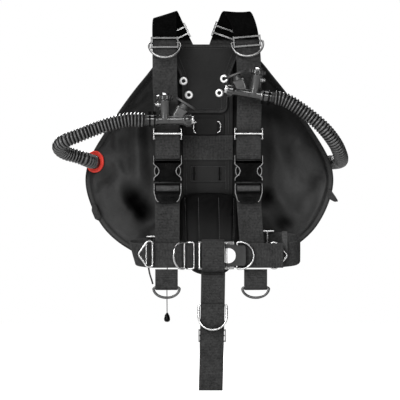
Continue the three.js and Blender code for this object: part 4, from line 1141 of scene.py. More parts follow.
def build_shoulder_strap(side):
    x = BUCKLE_X[side]
    at, across = leaning(SHOULDER[side], 160)
    turn = half_turn(x, BUCKLE_Y, BUCKLE_TOP, LOOP_R)
    front = BUCKLE_Y - LOOP_R
    rise = [(0, -15), (0, -2), (1.5, 12), (4.3, 25), (4.6, 34)]
    up = curve([(x, front + y, z) for y, z in rise], 24)
    path = np.vstack([at, turn[1:], up[1:]])
    sides = np.vstack([across, level(turn[1:]), level(up[1:])])
    shape = Shape().ribbon(path, sides, seed=1.0 if side == "r" else 2.0)
    points = np.array(shape.points)
    # The part over the shoulder is faced with a near-black velvet, down to the ring slide.
    dark = smoothstep(points[:, 2], 222, 226) * (points[:, 1] < 40)
    shape.tones = (1 - 0.93 * dark).tolist()
    place(f"shoulder_webbing_{side}", shape, "vest", WEBBING, [f"shoulder_strap_{side}"], angle=50)
    thread = Shape()
    for z in (-6.5, -9.5):
        thread.stitches([(x - 22, front - 1.5, z), (x + 22, front - 1.5, z)], FORWARD)
    place(f"shoulder_thread_{side}", thread, "vest", THREAD, angle=60)


def build_lower_strap(side):
    x0, x1 = (-82.6, -82.8) if side == "r" else (84, 89)
    knots = [(x0, -43.9, -69, 0), (x0, -43.9, -110, 0), (x1, -49, -190, 0), (x1, -55.5, -239, 0)]
    at, across = leaning(knots, 60)
    shape = Shape().ribbon(at, across, seed=3.0 if side == "r" else 4.0)
    place(f"lower_webbing_{side}", shape, "vest", WEBBING, [f"lower_strap_{side}"], angle=50)


for strap_side in ("r", "l"):
    build_shoulder_strap(strap_side)
    build_lower_strap(strap_side)


# ---------------------------------------------------------------- hardware
def dress(node, material, bevel=0.5):
    """Gives a carried-over CAD node its finish and soft edges."""
    piece = frame["nodes"][node]
    piece.data.materials.clear()
    piece.data.materials.append(material)
    weld = piece.modifiers.new("weld", "WELD")
    weld.merge_threshold = 0.02 * MM
    edge = piece.modifiers.new("edge", "BEVEL")
    edge.width = bevel * MM
    edge.segments = 3
    edge.limit_method = "ANGLE"
    edge.angle_limit = math.radians(28)


def wire_ring(name, node, body, points, wire, material, corner=3.0):
    """A closed ring of round wire whose corners are bent, not sharp."""
    points = np.array(points, float)
    path = []
    for i, here in enumerate(points):
        before, after = points[i - 1] - here, points[(i + 1) % len(points)] - here
        turn = math.acos(np.clip(-np.dot(unit(before), unit(after)), -1, 1))
        if turn < math.radians(25):
            path.append(here)
            continue
        reach = min(corner, np.linalg.norm(before) * 0.45, np.linalg.norm(after) * 0.45)
        a, b = here + unit(before) * reach, here + unit(after) * reach
        for t in np.linspace(0, 1, 6):
            path.append(a * (1 - t) ** 2 + here * 2 * t * (1 - t) + b * t * t)
    loop = np.vstack([path, path[:1]])
    smooth = respace(loop, 1.6)[:-1]
    shape = Shape().tube(smooth, wire, 14, closed=True)
    return place(name, shape, body, material, [node], angle=70)


def d_ring(name, node, body, bar, across, bow, length, depth, wire, material):
    """A ring with a straight bar of the given length and a round bow of the given depth."""
    bar, across, bow = np.array(bar, float), unit(across), unit(bow)
    half = length / 2
    straight = max(2, depth - half)
    points = [bar - across * (half - wire), bar + across * (half - wire)]
    points.append(bar + across * half + bow * wire)
    for angle in np.linspace(0, math.pi, 33):
        out = straight + (depth - straight) * math.sin(angle)
        points.append(bar + across * half * math.cos(angle) + bow * out)
    points.append(bar - across * half + bow * wire)
    return wire_ring(name, node, body, points, wire, material)


def build_shoulder_hardware():
    # Up along the strap and outward from it, where each ring sits.
    strap_ways = {
        "r": ((-0.0155, 0.0950, 0.9954), (-0.0003, -0.9954, 0.0950)),
        "l": ((-0.1189, 0.1006, 0.9878), (-0.0088, -0.9944, 0.1002)),
    }
    tilt = math.radians(33)
    for side, (upward, outward) in strap_ways.items():
        body = f"shoulder_ring_{LONG[side]}"
        bar, across = anchor(f"{body}_turn"), -vec(*JOINTS[f"{body}_turn"]["axis"])
        bow = -np.array(upward) * math.cos(tilt) + np.array(outward) * math.sin(tilt)
        name, node = f"shoulder_d_ring_{side}", f"shoulder_ring_{side}"
        d_ring(name, node, body, bar, across, bow, 64, 38, WIRE, DULL_STEEL)
        dress(f"ring_slider_{side}", DARK_STEEL, 0.7)
        dress(f"top_triglide_{side}", STEEL, 0.7)
        dress(f"chest_triglide_{side}", DULL_STEEL, 0.8)
        (low_x, low_y, low_z), (high_x, _, high_z) = box_mm(f"chest_triglide_{side}")
        mid_z = (low_z + high_z) / 2
        bar_y = low_y + 0.7
        bar = Shape().tube([(low_x + 1.4, bar_y, mid_z), (high_x - 1.4, bar_y, mid_z)], 2.1, 16)
        for x in (low_x + 1.3, high_x - 1.3):
            leg = [(x, low_y + 0.9, low_z + 2), (x, low_y + 0.5, mid_z), (x, low_y + 0.9, high_z - 2)]
            bar.tube(leg, 1.5, 12)
        place(f"chest_bar_{side}", bar, "vest", STEEL, angle=60)


# Half outlines of the buckle, from its middle line, as (across, height).
SOCKET_SIDE = [(29, -22), (29, -28), (20.5, -36), (18, -43), (20.5, -50), (28, -57), (28, -65)]
PRONG_SIDE = [
    (13.5, -66.2),
    (18.5, -66.2),
    (19.5, -56),
    (26.5, -46),
    (26.5, -39),
    (22, -32),
    (16, -32),
    (14.5, -50),
]


def build_buckle(side):
    x0 = BUCKLE_X[side]
    long_side = LONG[side]

    def across_y(low, high):
        return BUCKLE_Y + low, BUCKLE_Y + high

    waist = curve([(a, 0, z) for a, z in SOCKET_SIDE], 36)[:, [0, 2]]
    whole = [(x0 + a, z) for a, z in waist] + [(x0 - a, z) for a, z in waist[::-1]]
    shape = Shape()
    for low, high in ((2.4, 4.2), (-4.2, -2.4)):
        shape.plate(whole, *across_y(low, high))
    shape.block((x0 - 29, BUCKLE_Y - 4.2, -27), (x0 + 29, BUCKLE_Y + 4.2, -22))
    for s in (-1, 1):
        shape.block((x0 + s * 26.2, BUCKLE_Y - 4.2, -27), (x0 + s * 29, BUCKLE_Y + 4.2, -11))
        shape.block((x0 + s * 25.8, BUCKLE_Y - 2.6, -65), (x0 + s * 28, BUCKLE_Y + 2.6, -58))
    # A raised field on the front face.
    field = [(a * 0.8, -43.5 + (z + 43.5) * 0.72) for a, z in waist]
    field = [(x0 + a, z) for a, z in field] + [(x0 - a, z) for a, z in field[::-1]]
    shape.plate(field, *across_y(-4.9, -4.1))
    place(f"socket_{side}", shape, "vest", PLASTIC, [f"buckle_socket_{side}"], bevel=0.7, angle=40)
    # Beads run along the edges of the front face, in a lighter, glossier plastic that paints highlights on
    # those edges.
    bead_y = BUCKLE_Y - 4.1
    beads = Shape()
    for s in (-1, 1):
        beads.tube([(x0 + s * (a - 0.6), bead_y, z) for a, z in waist[4:-2]], 0.85, 10)
        beads.tube([(x0 + s * 28.2, bead_y, z) for z in (-11.5, -16, -21, -26)], 0.7, 8)
    place(f"socket_highlight_bead_{side}", beads, "vest", PLASTIC_HIGHLIGHT, angle=60)
    bar = Shape().tube([(x0 - 27, BUCKLE_Y, BUCKLE_TOP), (x0 + 27, BUCKLE_Y, BUCKLE_TOP)], 2.4, 16)
    place(f"socket_bar_{side}", bar, "vest", PLASTIC, angle=50)

    for place_name, s in (("outer", -1 if side == "r" else 1), ("inner", 1 if side == "r" else -1)):
        outline = rounded([(x0 + s * a, z) for a, z in PRONG_SIDE], 2.5, 4)
        prong = Shape().plate(outline, *across_y(-1.95, 1.95))
        # A bead along the outer edge, in the lighter plastic: a painted highlight.
        edge = ((20.4, -55.4), (26, -47.5), (26, -38), (22.6, -33))
        outer = curve([(x0 + s * a, BUCKLE_Y - 1.9, z) for a, z in edge], 20)
        prong.tube(outer, 0.8, 10, slot=1)
        name, node = f"latch_{place_name}_{side}", f"prong_{place_name}_{side}"
        body = f"prong_{place_name}_{long_side}"
        place(name, prong, body, [PLASTIC, PLASTIC_HIGHLIGHT], [node], bevel=0.6)

    insert = Shape()
    insert_body = f"insert_{long_side}"
    for s in (-1, 1):
        insert.block((x0 + s * 25.4, -53.6, -67.6), (x0 + s * 28, -48, -91))
    for z0, z1 in ((-67.6, -72.5), (-78.5, -81.5), (-86.5, -91)):
        insert.block((x0 - 26, -53.6, z0), (x0 + 26, -48.4, z1))
    lip = [(-25, -90.5), (25, -90.5), (21, -106), (8, -108), (-8, -108), (-21, -106)]
    lip = rounded([(x0 + a, z) for a, z in lip], 5)
    # The lip is painted lighter: a painted highlight.
    insert.plate(lip, -54.1, -51.1, tone=2.0)
    for k in range(3):
        z = -96 - 3.4 * k
        insert.block((x0 - 15 + k, -54.9, z), (x0 + 15 - k, -53.9, z - 1.5))
    # Beads along the rails and the lip's edge, in the lighter plastic: painted highlights.
    for s in (-1, 1):
        rail = [(27.4, -68.5), (27.4, -80), (27.2, -88), (25.6, -93), (22.8, -102), (19, -106)]
        highlight_line = curve([(x0 + s * a, -53.7, z) for a, z in rail], 30)
        insert.tube(highlight_line, 0.8, 10, slot=1)
    node = f"buckle_insert_{side}"
    place(f"insert_{side}", insert, insert_body, [PLASTIC, PLASTIC_HIGHLIGHT], [node], bevel=0.7)

    # The end of the lower strap doubles over the ladder's middle bar.
    fold = [(-50.2, -73.2), (-54.6, -73.6), (-55.3, -77), (-55.1, -81), (-52.0, -83.6), (-48.6, -83.9)]
    path = curve([(x0, y, z) for y, z in fold], 20)
    loop = Shape().ribbon(path, level(path), 47, 1.6, 1.6, tone=1.5, curl=0.0)
    place(f"ladder_webbing_{side}", loop, insert_body, WEBBING, angle=50)


build_shoulder_hardware()
for strap_side in ("r", "l"):
    build_buckle(strap_side)


# ---------------------------------------------------------------- waist belt
BELT_Z = anchor("waist_lever_open")[2]
# The belt's middle line, from the buckle round the back to the buckle again.
BELT = [
    (-20, -63, -215),
    (-60, -63, -215),
    (-118, -57, -215),
    (-148, -38, -213),
    (-153, -17, -209),
    (-135, 0, -206),
    (-95, 9, -203),
    (-45, 10, -200),
    (45, 10, -197),
    (110, 9, -193),
    (150, 2, -193),
    (186, -25, -200),
    (182, -47, -209),
    (160, -58, -213),
    (120, -63, -215),
    (60, -63, -215),
    (15, -63, -215),
]
BELT_TURN = (14.0, -67.5, 4.5)  # x, y and radius of the fold round the buckle's bar


def build_belt():
    at = curve(BELT, 220)
    lean = -0.27 * smoothstep(-at[:, 0], 100, 150)
    across = np.column_stack([lean, np.zeros(len(at)), np.ones(len(at))])
    x, y, r = BELT_TURN
    angles = np.linspace(0, math.pi, 13)
    turn = np.column_stack([x - r * np.sin(angles), y + r * np.cos(angles), np.full(13, BELT_Z)])
    tail = [(14, y - r), (50, -72), (90, -72), (120, -71.6), (153, -72.4)]
    tail = curve([(a, b, BELT_Z) for a, b in tail], 40)
    path = np.vstack([at, turn[1:], tail[1:]])
    sides = np.vstack([across, np.tile(UP, (len(turn) + len(tail) - 2, 1))])
    shape = Shape().ribbon(path, sides, seed=6.0, curl=0.3)
    place("belt_webbing", shape, "vest", WEBBING, ["waist_belt"], angle=50)
    thread = Shape()
    front = -72 - WEB_T / 2 - 0.35
    for k in range(5):
        up = BELT_Z - 21 + 10.5 * k
        thread.stitches([(148.5, front, up - 5), (150.5, front, up + 5)], FORWARD, 3.0)
    place("belt_thread", thread, "vest", THREAD, angle=60)
    keeper = curve([(156, -59.5, -166), (156.5, -61.5, -185), (156.5, -62.5, -205), (156, -62, -217)], 16)
    strip = Shape().ribbon(keeper, level(keeper), 11, 1.6, 3.0, tone=1.7)
    place("belt_keeper", strip, "vest", WEBBING, angle=50)


LEVER_HINGE_X, LEVER_HINGE_Y, _ = anchor("waist_lever_open")
LEVER_END_X = 77.0
WINDOW_X, WINDOW_R = 41.0, 15.6


def build_lever():
    """The lever: a plate cut out round a window that shows the bright plate behind it."""
    half = 23.4
    corner = rounded([(LEVER_END_X, half), (LEVER_END_X, -half), (0, 0)], 10)
    right_side = [p for p in corner if p[0] > LEVER_END_X - 10.5]
    reach = math.sqrt(WINDOW_R**2 - (WINDOW_X - LEVER_HINGE_X) ** 2)
    start = math.atan2(reach, LEVER_HINGE_X - WINDOW_X)
    arc = [
        (WINDOW_X + WINDOW_R * math.cos(a), WINDOW_R * math.sin(a))
        for a in np.linspace(-start, start, 28)
    ]
    outline = [(LEVER_HINGE_X, half), *right_side, (LEVER_HINGE_X, -half), *arc]
    lever = Shape().plate([(x, BELT_Z + z) for x, z in outline], -79, -81.8)
    for z0, z1 in ((half, reach - 0.5), (-reach + 0.5, -half)):
        knuckle = [(LEVER_HINGE_X, LEVER_HINGE_Y, BELT_Z + z) for z in (z0, z1)]
        lever.tube(knuckle, 2.9, 20)
    place("waist_lever_plate", lever, "waist_lever", LEVER, ["waist_buckle_lever"], bevel=0.7)
    plate = Shape().block((28, -77.6, BELT_Z - 21), (56.6, -75.4, BELT_Z + 21))
    plate.tube([(38.5, -78.2, BELT_Z - 20), (38.5, -78.2, BELT_Z + 20)], 1.5, 14)
    place("waist_bright_plate", plate, "vest", EYELET, bevel=0.6)


def build_waist_buckle():
    dress("waist_buckle_frame", STEEL, 0.8)
    build_lever()
    # The slide beside the buckle: a rounded frame of flattened wire.
    x0, x1, y, half = -45.0, -28.6, -66.7, 26.9
    slide = [
        (x1, y, half), (x1, y, -half), (x0 + 6, y, -half),
        (x0, y + 5, -half), (x0, y + 5, half), (x0 + 6, y, half),
    ]
    slide = [(a, b, BELT_Z + c) for a, b, c in slide]
    wire_ring("belt_slide_r", "belt_slider_r", "vest", slide, 1.8, STEEL, corner=7)
    for side in ("r", "l"):
        dress(f"rear_slide_{side}", STEEL, 0.6)
        (low_x, low_y, _), (high_x, _, high_z) = box_mm(f"rear_slide_{side}")
        end_z = high_z - 1.6
        end = Shape().tube([(low_x + 1, low_y, end_z), (high_x - 1, low_y, end_z)], 1.9, 14)
        place(f"rear_slide_end_{side}", end, "vest", STEEL, angle=60)
    a = math.radians(50)
    for side, out in (("l", SIDEWAYS), ("r", (-math.cos(a), -math.sin(a), 0))):
        body = f"belt_ring_{LONG[side]}"
        bar = anchor(f"{body}_turn")
        name, node = f"belt_d_ring_{side}", f"belt_ring_{side}"
        d_ring(name, node, body, bar, UP, out, 54.6, 34, 2.1, STEEL)


def hip_triangle(side, bar, out, reach, height):
    """A triangular ring: its straight side on the bar, its blunt tip at the given reach."""
    bar, out = np.array(bar, float), unit(out)
    half = height / 2

    def at(o, z):
        return bar + out * o + UP * z

    points = [
        at(0, -half + 3),
        at(0, half - 3),
        at(3, half),
        at(11, half),
        at(reach - 2, 4),
        at(reach, 0),
        at(reach - 2, -4),
        at(11, -half),
        at(3, -half),
    ]
    body = f"hip_ring_{LONG[side]}"
    wire_ring(f"hip_triangle_{side}", f"hip_ring_{side}", body, points, 1.9, STEEL, corner=5)
    cross_bar = Shape().tube([at(13, -half + 1.5), at(13, half - 1.5)], 1.75, 12)
    place(f"hip_bar_{side}", cross_bar, body, STEEL, angle=60)


def build_drops():
    top, r = -243.0, LOOP_R
    for side, width in (("r", 46), ("l", 47)):
        body = f"drop_{LONG[side]}"
        ring_body = f"drop_ring_{LONG[side]}"
        bar = x, y, bar_z = anchor(f"{ring_body}_turn")
        mid_z = (top + bar_z) / 2
        back = [(x, y + r, top), (x, y + r, mid_z)]
        front = [(x, y - r, mid_z), (x, y - r + 1.2, top)]
        path = np.vstack([back, half_turn(x, y, bar_z, r), front])
        strap = Shape().ribbon(path, level(path), width, seed=7.0 if side == "r" else 8.0, curl=0.2)
        place(f"drop_webbing_{side}", strap, body, WEBBING, [f"drop_strap_{side}"], angle=50)
        thread = Shape()
        thread_y, thread_half = y - r - 1.55, width / 2 - 3
        for z in (-250.5, -253.5, -262, -271):
            thread.stitches([(x - thread_half, thread_y, z), (x + thread_half, thread_y, z)], FORWARD)
        place(f"drop_thread_{side}", thread, body, THREAD, angle=60)
        name, node = f"drop_d_ring_{side}", f"drop_ring_{side}"
        d_ring(name, node, ring_body, bar, SIDEWAYS, -UP, width + 7, 21, 2.7, DARK_STEEL)


def build_crotch():
    x, width = anchor("crotch_swing")[0], 46
    # The sleeve round the belt, as (y, z).
    loop = [
        (-88, -193), (-84, -186), (-72, -183.4), (-58.5, -185), (-55.5, -193),
        (-55.5, -237), (-58.5, -245), (-72, -246.6), (-84, -244), (-88, -237),
    ]
    path = curve([(x, y, z) for y, z in loop], 90, True)
    path = np.vstack([path, path[:1]])
    shape = Shape().ribbon(path, level(path), width, 2.4, seed=9.0, curl=0.2)
    place("crotch_sleeve", shape, "vest", WEBBING, ["crotch_loop"], angle=50)
    thread = Shape()
    for z, y in ((-187.5, -87.0), (-190, -89.6), (-241, -87.0), (-243.5, -87.0)):
        thread.stitches([(x - 20, y, z), (x + 20, y, z)], FORWARD)
    place("sleeve_thread", thread, "vest", THREAD, angle=60)
    run = curve([(10.5, -70, -249.6), (9.5, -70, -316), (7.5, -70, -400), (5.5, -70, -490)], 80)
    strap = Shape().ribbon(run, level(run), 49, seed=10.0, curl=0.3)
    # The folded top part ends in a sewn patch.
    front = curve([(10.3, -72.7, -254.5), (9.7, -72.8, -290), (9.5, -72.8, -311)], 20)
    strap.ribbon(front, level(front), 48.5, 2.0, seed=11.0, curl=0.3)
    place("crotch_webbing", strap, "crotch", WEBBING, ["crotch_strap"], angle=50)
    thread = Shape()
    thread.box_stitch(vec(9.8, -74.3, -291), SIDEWAYS, UP, 40, 34)
    for z in (-485.5, -488):
        thread.stitches([(-17.5, -71.8, z), (28.5, -71.8, z)], FORWARD)
    place("crotch_thread", thread, "crotch", THREAD, angle=60)
    a = math.radians(16)
    bow = (0, -math.sin(a), -math.cos(a))
    name, node, body, bar = "crotch_d_ring_steel", "crotch_ring", "crotch_d_ring", anchor("crotch_ring_turn")
    d_ring(name, node, body, bar, SIDEWAYS, bow, 57, 52, WIRE, STEEL)
    dress("crotch_triglide", DULL_STEEL, 0.6)


build_belt()
build_waist_buckle()
a12 = math.radians(12)
hip_triangle("r", anchor("hip_ring_right_turn"), (-math.cos(a12), -math.sin(a12), 0), 29, 53)
hip_triangle("l", (128, -67.5, BELT_Z), SIDEWAYS, 33, 53)
build_drops()
build_crotch()


# ---------------------------------------------------------------- hoses and inflators
HOSE_PITCH = 7.0  # from one ridge of the hose to the next
HOSE_LOW = 11.7  # radius in the grooves
HOSE_HIGH = 14.9  # radius on the ridges
HOSE_SIDES = 28
CUFF_R = 11.8  # radius of the hose's smooth ends
HOSE_R = [
    (-252, -13, -18), (-270, -21, -12), (-288, -30, -7), (-301, -45, 1), (-302, -62, 10),
    (-290, -77, 19), (-264, -84, 29), (-234, -84, 41), (-195, -84, 54), (-163, -84, 60.8),
    (-123.5, -84, 60.8),
]
HOSE_L = [
    (219, 97, -25), (240, 104, -25), (260, 89, -24), (271, 56, -22), (273, 18, -18),
    (270, -20, -8), (259, -53, 14), (235, -77, 44), (200, -84, 74), (154.77, -84, 102.47),
    (129.56, -84, 106.91),
]


def build_hose(side, port, axis, knots):
    first = (6, 24) if side == "r" else (8, 22)
    start = [port + axis * first[0], port + axis * first[1]]
    path = respace(curve([*start, *knots], 400), 0.875)
    s = lengths(path)
    total = s[-1]
    wave = (0.5 + 0.5 * np.cos(2 * math.pi * s / HOSE_PITCH)) ** 0.75
    radius = HOSE_LOW + (HOSE_HIGH - HOSE_LOW) * wave
    cuff = np.maximum(1 - smoothstep(s, 17, 19), smoothstep(s, total - 6, total - 4))
    radius = radius * (1 - cuff) + CUFF_R * cuff
    # Painted shade in the grooves and painted highlights on the ridges: the tone is near black in each
    # groove and several times lighter on each ridge.
    tone = np.repeat((0.03 + 3.4 * wave**1.4) * (1 - cuff) + cuff, HOSE_SIDES)
    hose = Shape().tube(path, radius, HOSE_SIDES, tone=tone)
    body = f"inflator_{LONG[side]}"
    place(f"corrugated_hose_{side}", hose, body, RUBBER, [f"hose_{side}"], angle=75)


def tie_band(shape, at, axis, radius, width=4.6):
    """A cable tie: a thin band with its square lock."""
    axis = unit(axis)
    outer, half = radius + 1.3, width / 2
    profile = [(radius, -half), (outer, -half + 0.3), (outer, half - 0.3), (radius, half)]
    shape.lathe([*profile, (radius - 0.4, 0)], at, axis, 32, closed=True, slot=1)
    side = unit(np.cross(axis, BACKWARD))
    lock = np.array(at) + side * (radius + 1.8)
    half_lock = vec(3.2, 2.4, 3.2)
    shape.block(lock - half_lock, lock + half_lock, slot=1)


# Profiles of (radius, distance): the stub with its cap, the nipple, the knobs.
STUB_PROFILE = [
    (7.0, -6), (10.4, -2), (11.2, 4), (11.0, 36), (11.9, 37.4), (11.9, 39.6), (15.0, 40.6),
    (16.3, 42), (16.3, 48.6), (15.0, 50), (11.2, 51), (10.6, 42.5), (0.01, 42.5),
]
NIPPLE_PROFILE = [
    (3.4, 9), (4.0, 8.4), (4.0, -4), (6.3, -4.6), (6.8, -5.4), (6.8, -7), (6.2, -7.6), (6.8, -8.2),
    (6.8, -10), (6.2, -10.6), (6.8, -11.2), (6.8, -13.4), (6.2, -14.8), (4.1, -15.2), (3.9, -17.4),
    (3.2, -19), (1.6, -19), (1.4, -15),
]
KNOB_PROFILE = [
    (9.4, 0), (9.6, 1), (9.6, 6.6), (9.2, 7.6), (8.2, 8.1),
    (7.4, 7.7), (6.8, 7.9), (5.2, 8.7), (2.6, 9.0), (0.01, 9.05),
]
# Cross sections of the branch to the mouthpiece: distance, half width and half depth.
BRANCH = (
    (-2, 8.0, 6.5), (3, 10.5, 8.0), (8, 11.6, 8.6), (20, 12.0, 8.8), (21.5, 12.8, 9.4), (25, 12.6, 9.2),
)


def tube_profile(cuff):
    """The inflator's tube from its cuff to the ring of the deflate button."""
    return [
        (10.6, -cuff), (12.4, -cuff + 0.6), (12.5, -8), (12.2, -2.4), (10.8, 0.8), (10.0, 1.2),
        (9.7, 3), (9.7, 22), (10.5, 22.6), (10.5, 24.4), (9.7, 25), (9.7, 53), (10.4, 55),
        (12.6, 57), (13.5, 58), (13.5, 68.8), (12.8, 70), (10.9, 70), (10.6, 58.5), (0.01, 58.5),
    ]


def build_inflator(side):
    right = side == "r"
    long_side = LONG[side]
    body = f"inflator_{long_side}"
    lean = 0 if right else math.radians(10)
    u = vec(math.cos(lean), 0, math.sin(lean)) if right else vec(-math.cos(lean), 0, math.sin(lean))
    v = vec(math.sin(abs(lean)), 0, math.cos(lean))
    origin = vec(-103, -84, 60.8) if right else vec(107.5, -84, 110.8)
    cuff = 20.4 if right else 22

    def at(du, dv):
        return origin + u * du + v * dv

    shell = Shape()
    # The tones paint highlights on the black plastic: the tube, the stub, its cap's grips, the rib and the
    # branch are each painted lighter, by different amounts.
    shell.lathe(tube_profile(cuff), at(0, 0), u, 40, tone=3.5)
    for k in range(12):
        # Finger grips round the end collar.
        a = 2 * math.pi * k / 12
        around = v * math.cos(a) + BACKWARD * math.sin(a)
        shell.tube([at(58.6, 0) + around * 13.3, at(68.2, 0) + around * 13.3], 0.9, 8)
    # The stub and its cap are painted lighter: a painted highlight.
    shell.lathe(STUB_PROFILE, at(15, 0), v, 40, tone=6.0)
    # The grips round the cap are painted much lighter: painted highlights on the cap's rim.
    for k in range(14):
        a = 2 * math.pi * k / 14
        around = u * math.cos(a) + BACKWARD * math.sin(a)
        shell.tube([at(15, 42.4) + around * 16.1, at(15, 48.4) + around * 16.1], 0.8, 8, tone=14.0)
    # The rib between the stub and the tube, and the branch to the mouthpiece; both are painted lighter, as
    # painted highlights.
    web = [(20, 6), (27, 6), (23.5, 13), (22.5, 24), (20, 24)]
    corners = [at(a, b) for a, b in web]
    shell.rings([np.array([c + BACKWARD * dy for c in corners]) for dy in (-1.6, 1.6)], tone=9.0)
    tilt = math.radians(32)
    branch = unit(v * math.cos(tilt) + u * math.sin(tilt))
    root = at(38, 2)
    face = unit(np.cross(branch, BACKWARD))

    def on_branch(d, wide, deep):
        return root + branch * d + face * wide + BACKWARD * deep

    sections = []
    for d, wide, deep in BRANCH:
        corner = rounded([(-wide, -deep), (wide, -deep), (wide, deep), (-wide, deep)], 5.0, 5)
        sections.append(np.array([on_branch(d, a, b) for a, b in corner]))
    shell.rings(sections, tone=9.0)
    tie_band(shell, at(-cuff + 5, 0), u, 12.3)
    tie_band(shell, at(-5.5, 0), u, 12.2, 3.4)
    place(f"inflator_body_{side}", shell, body, [BODY, PLASTIC], [f"inflator_{side}"], angle=38)

    nipple = Shape().lathe(NIPPLE_PROFILE, at(15, 31), u, 28)
    place(f"inflator_nipple_{side}", nipple, body, DULL_STEEL, angle=30)

    def oval(d, half_wide, half_deep):
        angles = np.linspace(0, 2 * math.pi, 48, endpoint=False)
        return np.array([on_branch(d, half_wide * math.cos(a), half_deep * math.sin(a)) for a in angles])

    mouth = Shape()
    neck = [(9.9, 25.2), (9.6, 27), (8.6, 31), (8.0, 35), (6.2, 35.4), (6.0, 30), (6.0, 26)]
    mouth.lathe(neck, root, branch, 40, closed=True)
    growth = ((34.6, 0.86), (35.3, 0.98), (37.2, 1.0), (38.8, 0.95), (39.2, 0.82))
    rim = [oval(d, 23.1 * grow, 14.0 * grow) for d, grow in growth]
    hole = [oval(d, 9.0, 5.6) for d in (39.2, 38.0, 34.0)]
    mouth.rings([*rim, *hole], closed=True)
    place(f"mouthpiece_rubber_{side}", mouth, body, SOFT, [f"mouthpiece_{side}"], angle=45)

    knob = Shape().lathe(KNOB_PROFILE, at(15, 47), v, 40)
    node = f"inflate_button_{side}"
    place(f"inflate_knob_{side}", knob, f"inflate_{long_side}", STEEL, [node], angle=35)
    taller = [(r, d * 10 / 9) for r, d in KNOB_PROFILE]
    knob = Shape().lathe(taller, at(66, 0), u, 40)
    node = f"deflate_button_{side}"
    place(f"deflate_knob_{side}", knob, f"deflate_{long_side}", STEEL, [node], angle=35)


def build_ports():
    fittings = Shape()
    rear_port = [
        (15.2, -1), (21, -0.7), (21.3, 2.6), (19.8, 5.2), (15.8, 6.4), (14.6, 9), (12.6, 9.2), (12.2, 2),
    ]
    fittings.lathe(rear_port, PORT_L, BACKWARD, 40, closed=True)
    for k in range(18):
        a = 2 * math.pi * k / 18
        p = PORT_L + vec(math.cos(a), 0, math.sin(a)) * 20.2
        fittings.tube([p + BACKWARD * 0.3, p + BACKWARD * 4], 0.9, 8)
    # The dump valve: a housing with slots and a domed cap.
    housing = [
        (18, -0.6), (20, -0.2), (20.4, 3), (19.2, 4.4), (18.2, 4.8), (18.2, 8.6),
        (19.4, 9), (19.2, 11.6), (15.5, 14.2), (9, 15.4), (0.01, 15.5),
    ]
    fittings.lathe(housing, VALVE, BACKWARD, 48)
    for k in range(16):
        a = 2 * math.pi * k / 16
        p = VALVE + vec(math.cos(a), 0, math.sin(a)) * 18.6
        fittings.tube([p + BACKWARD * 4.4, p + BACKWARD * 9.2], 1.1, 8)
    place("wing_fittings", fittings, "vest", BODY, ["wing_bladder"], angle=35)
    collar = [
        (12.6, -0.5), (21.2, -0.6), (22.4, 0.2), (22.5, 3.2), (21.4, 4.6),
        (18.5, 5.0), (17.6, 4.2), (14.2, 4.0), (13.6, 4.9), (12.6, 4.9),
    ]
    ring = Shape().lathe(collar, PORT_R, COLLAR_AXIS, 48, closed=True)
    place("port_collar_r", ring, "vest", RED, ["port_ring_r"], angle=35)
    bend = [(9.5, 3.0), (14.0, 3.4), (14.6, 4.6), (14.6, 9.4), (13.8, 10.6), (12.0, 11.2), (11.9, 18)]
    elbow = Shape().lathe(bend, PORT_R, unit(PORT_R_AXIS + COLLAR_AXIS), 40)
    place("port_elbow_r", elbow, "vest", BODY, angle=35)


def build_toggle():
    """The dump valve's cord with its drop-shaped toggle, and the end of the lanyard on the belt."""
    x, y, _ = middle("dump_toggle")
    pull = Shape()
    pull.tube([(x, y, -197), (x + 0.4, y + 0.3, -240), (x - 0.3, y, -290), (x, y, -335)], 0.9, 10)
    drop = [
        (0.01, 0), (4.2, 1), (5.6, 2.6), (6.2, 5), (6.1, 8),
        (5.4, 11), (3.8, 14.8), (2.6, 18), (1.2, 19), (0.01, 19),
    ]
    pull.lathe(drop, (x, y, -353), UP, 28, slot=1)
    for z in (-344, -341.4, -338.8):
        grip = [(5.2, -0.5), (6.1 - (z + 344) * 0.16, 0), (5.0, 0.5)]
        pull.lathe(grip, (x, y, z), UP, 24, closed=True, slot=1)
    place("dump_pull_cord", pull, "dump_pull", [CORD, PLASTIC], ["dump_toggle"], angle=45)
    hang = [(-121, -60, -240), (-118.5, -62, -253), (-115, -60.5, -264), (-112.5, -58.5, -273)]
    cord = Shape().tube(curve(hang, 16), 1.7, 10)
    place("lanyard_end", cord, "vest", CORD, angle=60)


build_ports()
build_hose("r", PORT_R, PORT_R_AXIS, HOSE_R)
build_inflator("r")
build_hose("l", PORT_L, BACKWARD, HOSE_L)
build_inflator("l")
build_toggle()


# ---------------------------------------------------------------- stage, lights and camera
# Lengths from here on are metres.
FLOOR_Z = -0.505
OBJECT_MIDDLE = vec(-0.0163, -0.04, -0.102)
CAMERA_DISTANCE = 12.0
VIEW_WIDTH = 0.816


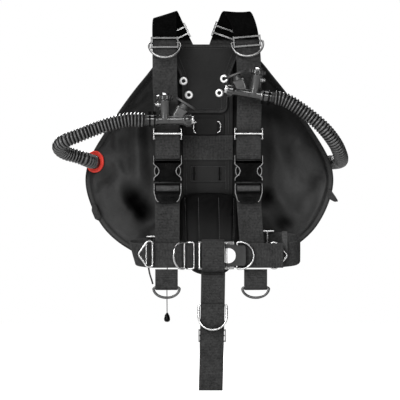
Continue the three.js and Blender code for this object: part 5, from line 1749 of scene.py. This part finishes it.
def build_stage():
    """A plain pale floor."""
    half = 7.0
    corners = ((-half, -half), (half, -half), (half, half), (-half, half))
    points = [(x, y, FLOOR_Z) for x, y in corners]
    faces = [[0, 1, 2, 3]]
    mesh = bpy.data.meshes.new("floor")
    mesh.from_pydata(points, [], faces)
    p = Paint("pale_paper", "stage")
    speck = p.noise(60.0, 3.0)
    paper = p.mix(p.scaled(speck, 0.3, 0.7, 0, 1), grey(0.78), grey(0.8))
    seen = p.node("ShaderNodeLightPath").outputs["Is Camera Ray"]
    glow = p.scaled(seen, 0, 1, 0.0, 1.0)
    p.set(Base_Color=paper, Roughness=0.95, Emission_Color=grey(1.0), Emission_Strength=glow)
    mesh.materials.append(p.material)
    floor = bpy.data.objects.new("floor", mesh)
    bpy.context.scene.collection.objects.link(floor)


def softbox(name, where, size, power, tint=(1, 1, 1)):
    data = bpy.data.lights.new(name, "AREA")
    data.shape = "RECTANGLE"
    data.size, data.size_y = size
    data.energy = power
    data.color = tint
    lamp = bpy.data.objects.new(name, data)
    lamp.location = where
    direction = Vector(OBJECT_MIDDLE) - Vector(where)
    lamp.rotation_euler = direction.to_track_quat("-Z", "Y").to_euler()
    lamp.visible_camera = False
    bpy.context.scene.collection.objects.link(lamp)


def build_world():
    world = bpy.data.worlds.new("studio")
    world.use_nodes = True
    tree = world.node_tree
    background = tree.nodes["Background"]
    background.inputs[0].default_value = (1, 1, 1, 1)
    path = tree.nodes.new("ShaderNodeLightPath")
    strength = tree.nodes.new("ShaderNodeMapRange")
    strength.inputs["To Min"].default_value = 0.03
    strength.inputs["To Max"].default_value = 1.0
    tree.links.new(path.outputs["Is Camera Ray"], strength.inputs["Value"])
    tree.links.new(strength.outputs[0], background.inputs[1])
    bpy.context.scene.world = world
    bpy.context.scene.view_settings.view_transform = "Standard"


def build_camera():
    data = bpy.data.cameras.new("camera")
    data.sensor_width = 36.0
    data.lens = data.sensor_width * CAMERA_DISTANCE / VIEW_WIDTH
    data.clip_end = 50
    camera = bpy.data.objects.new("camera", data)
    camera.location = (OBJECT_MIDDLE[0], OBJECT_MIDDLE[1] - CAMERA_DISTANCE, OBJECT_MIDDLE[2])
    camera.rotation_euler = (math.pi / 2, 0, 0)
    bpy.context.scene.collection.objects.link(camera)
    bpy.context.scene.camera = camera


build_stage()
build_world()
softbox("key", (-1.7, -2.1, 1.7), (1.0, 0.9), 42)
softbox("left_strip", (-2.1, -3.4, 0.1), (0.5, 2.6), 55)
softbox("right_strip", (1.9, -3.3, 0.0), (0.35, 2.4), 28)
softbox("front", (-0.3, -4.6, 1.7), (2.4, 1.2), 88)
softbox("top", (0.1, -0.3, 2.4), (2.0, 0.6), 20)
softbox("back", (-1.2, 3.0, 1.4), (1.8, 1.4), 130)
build_camera()
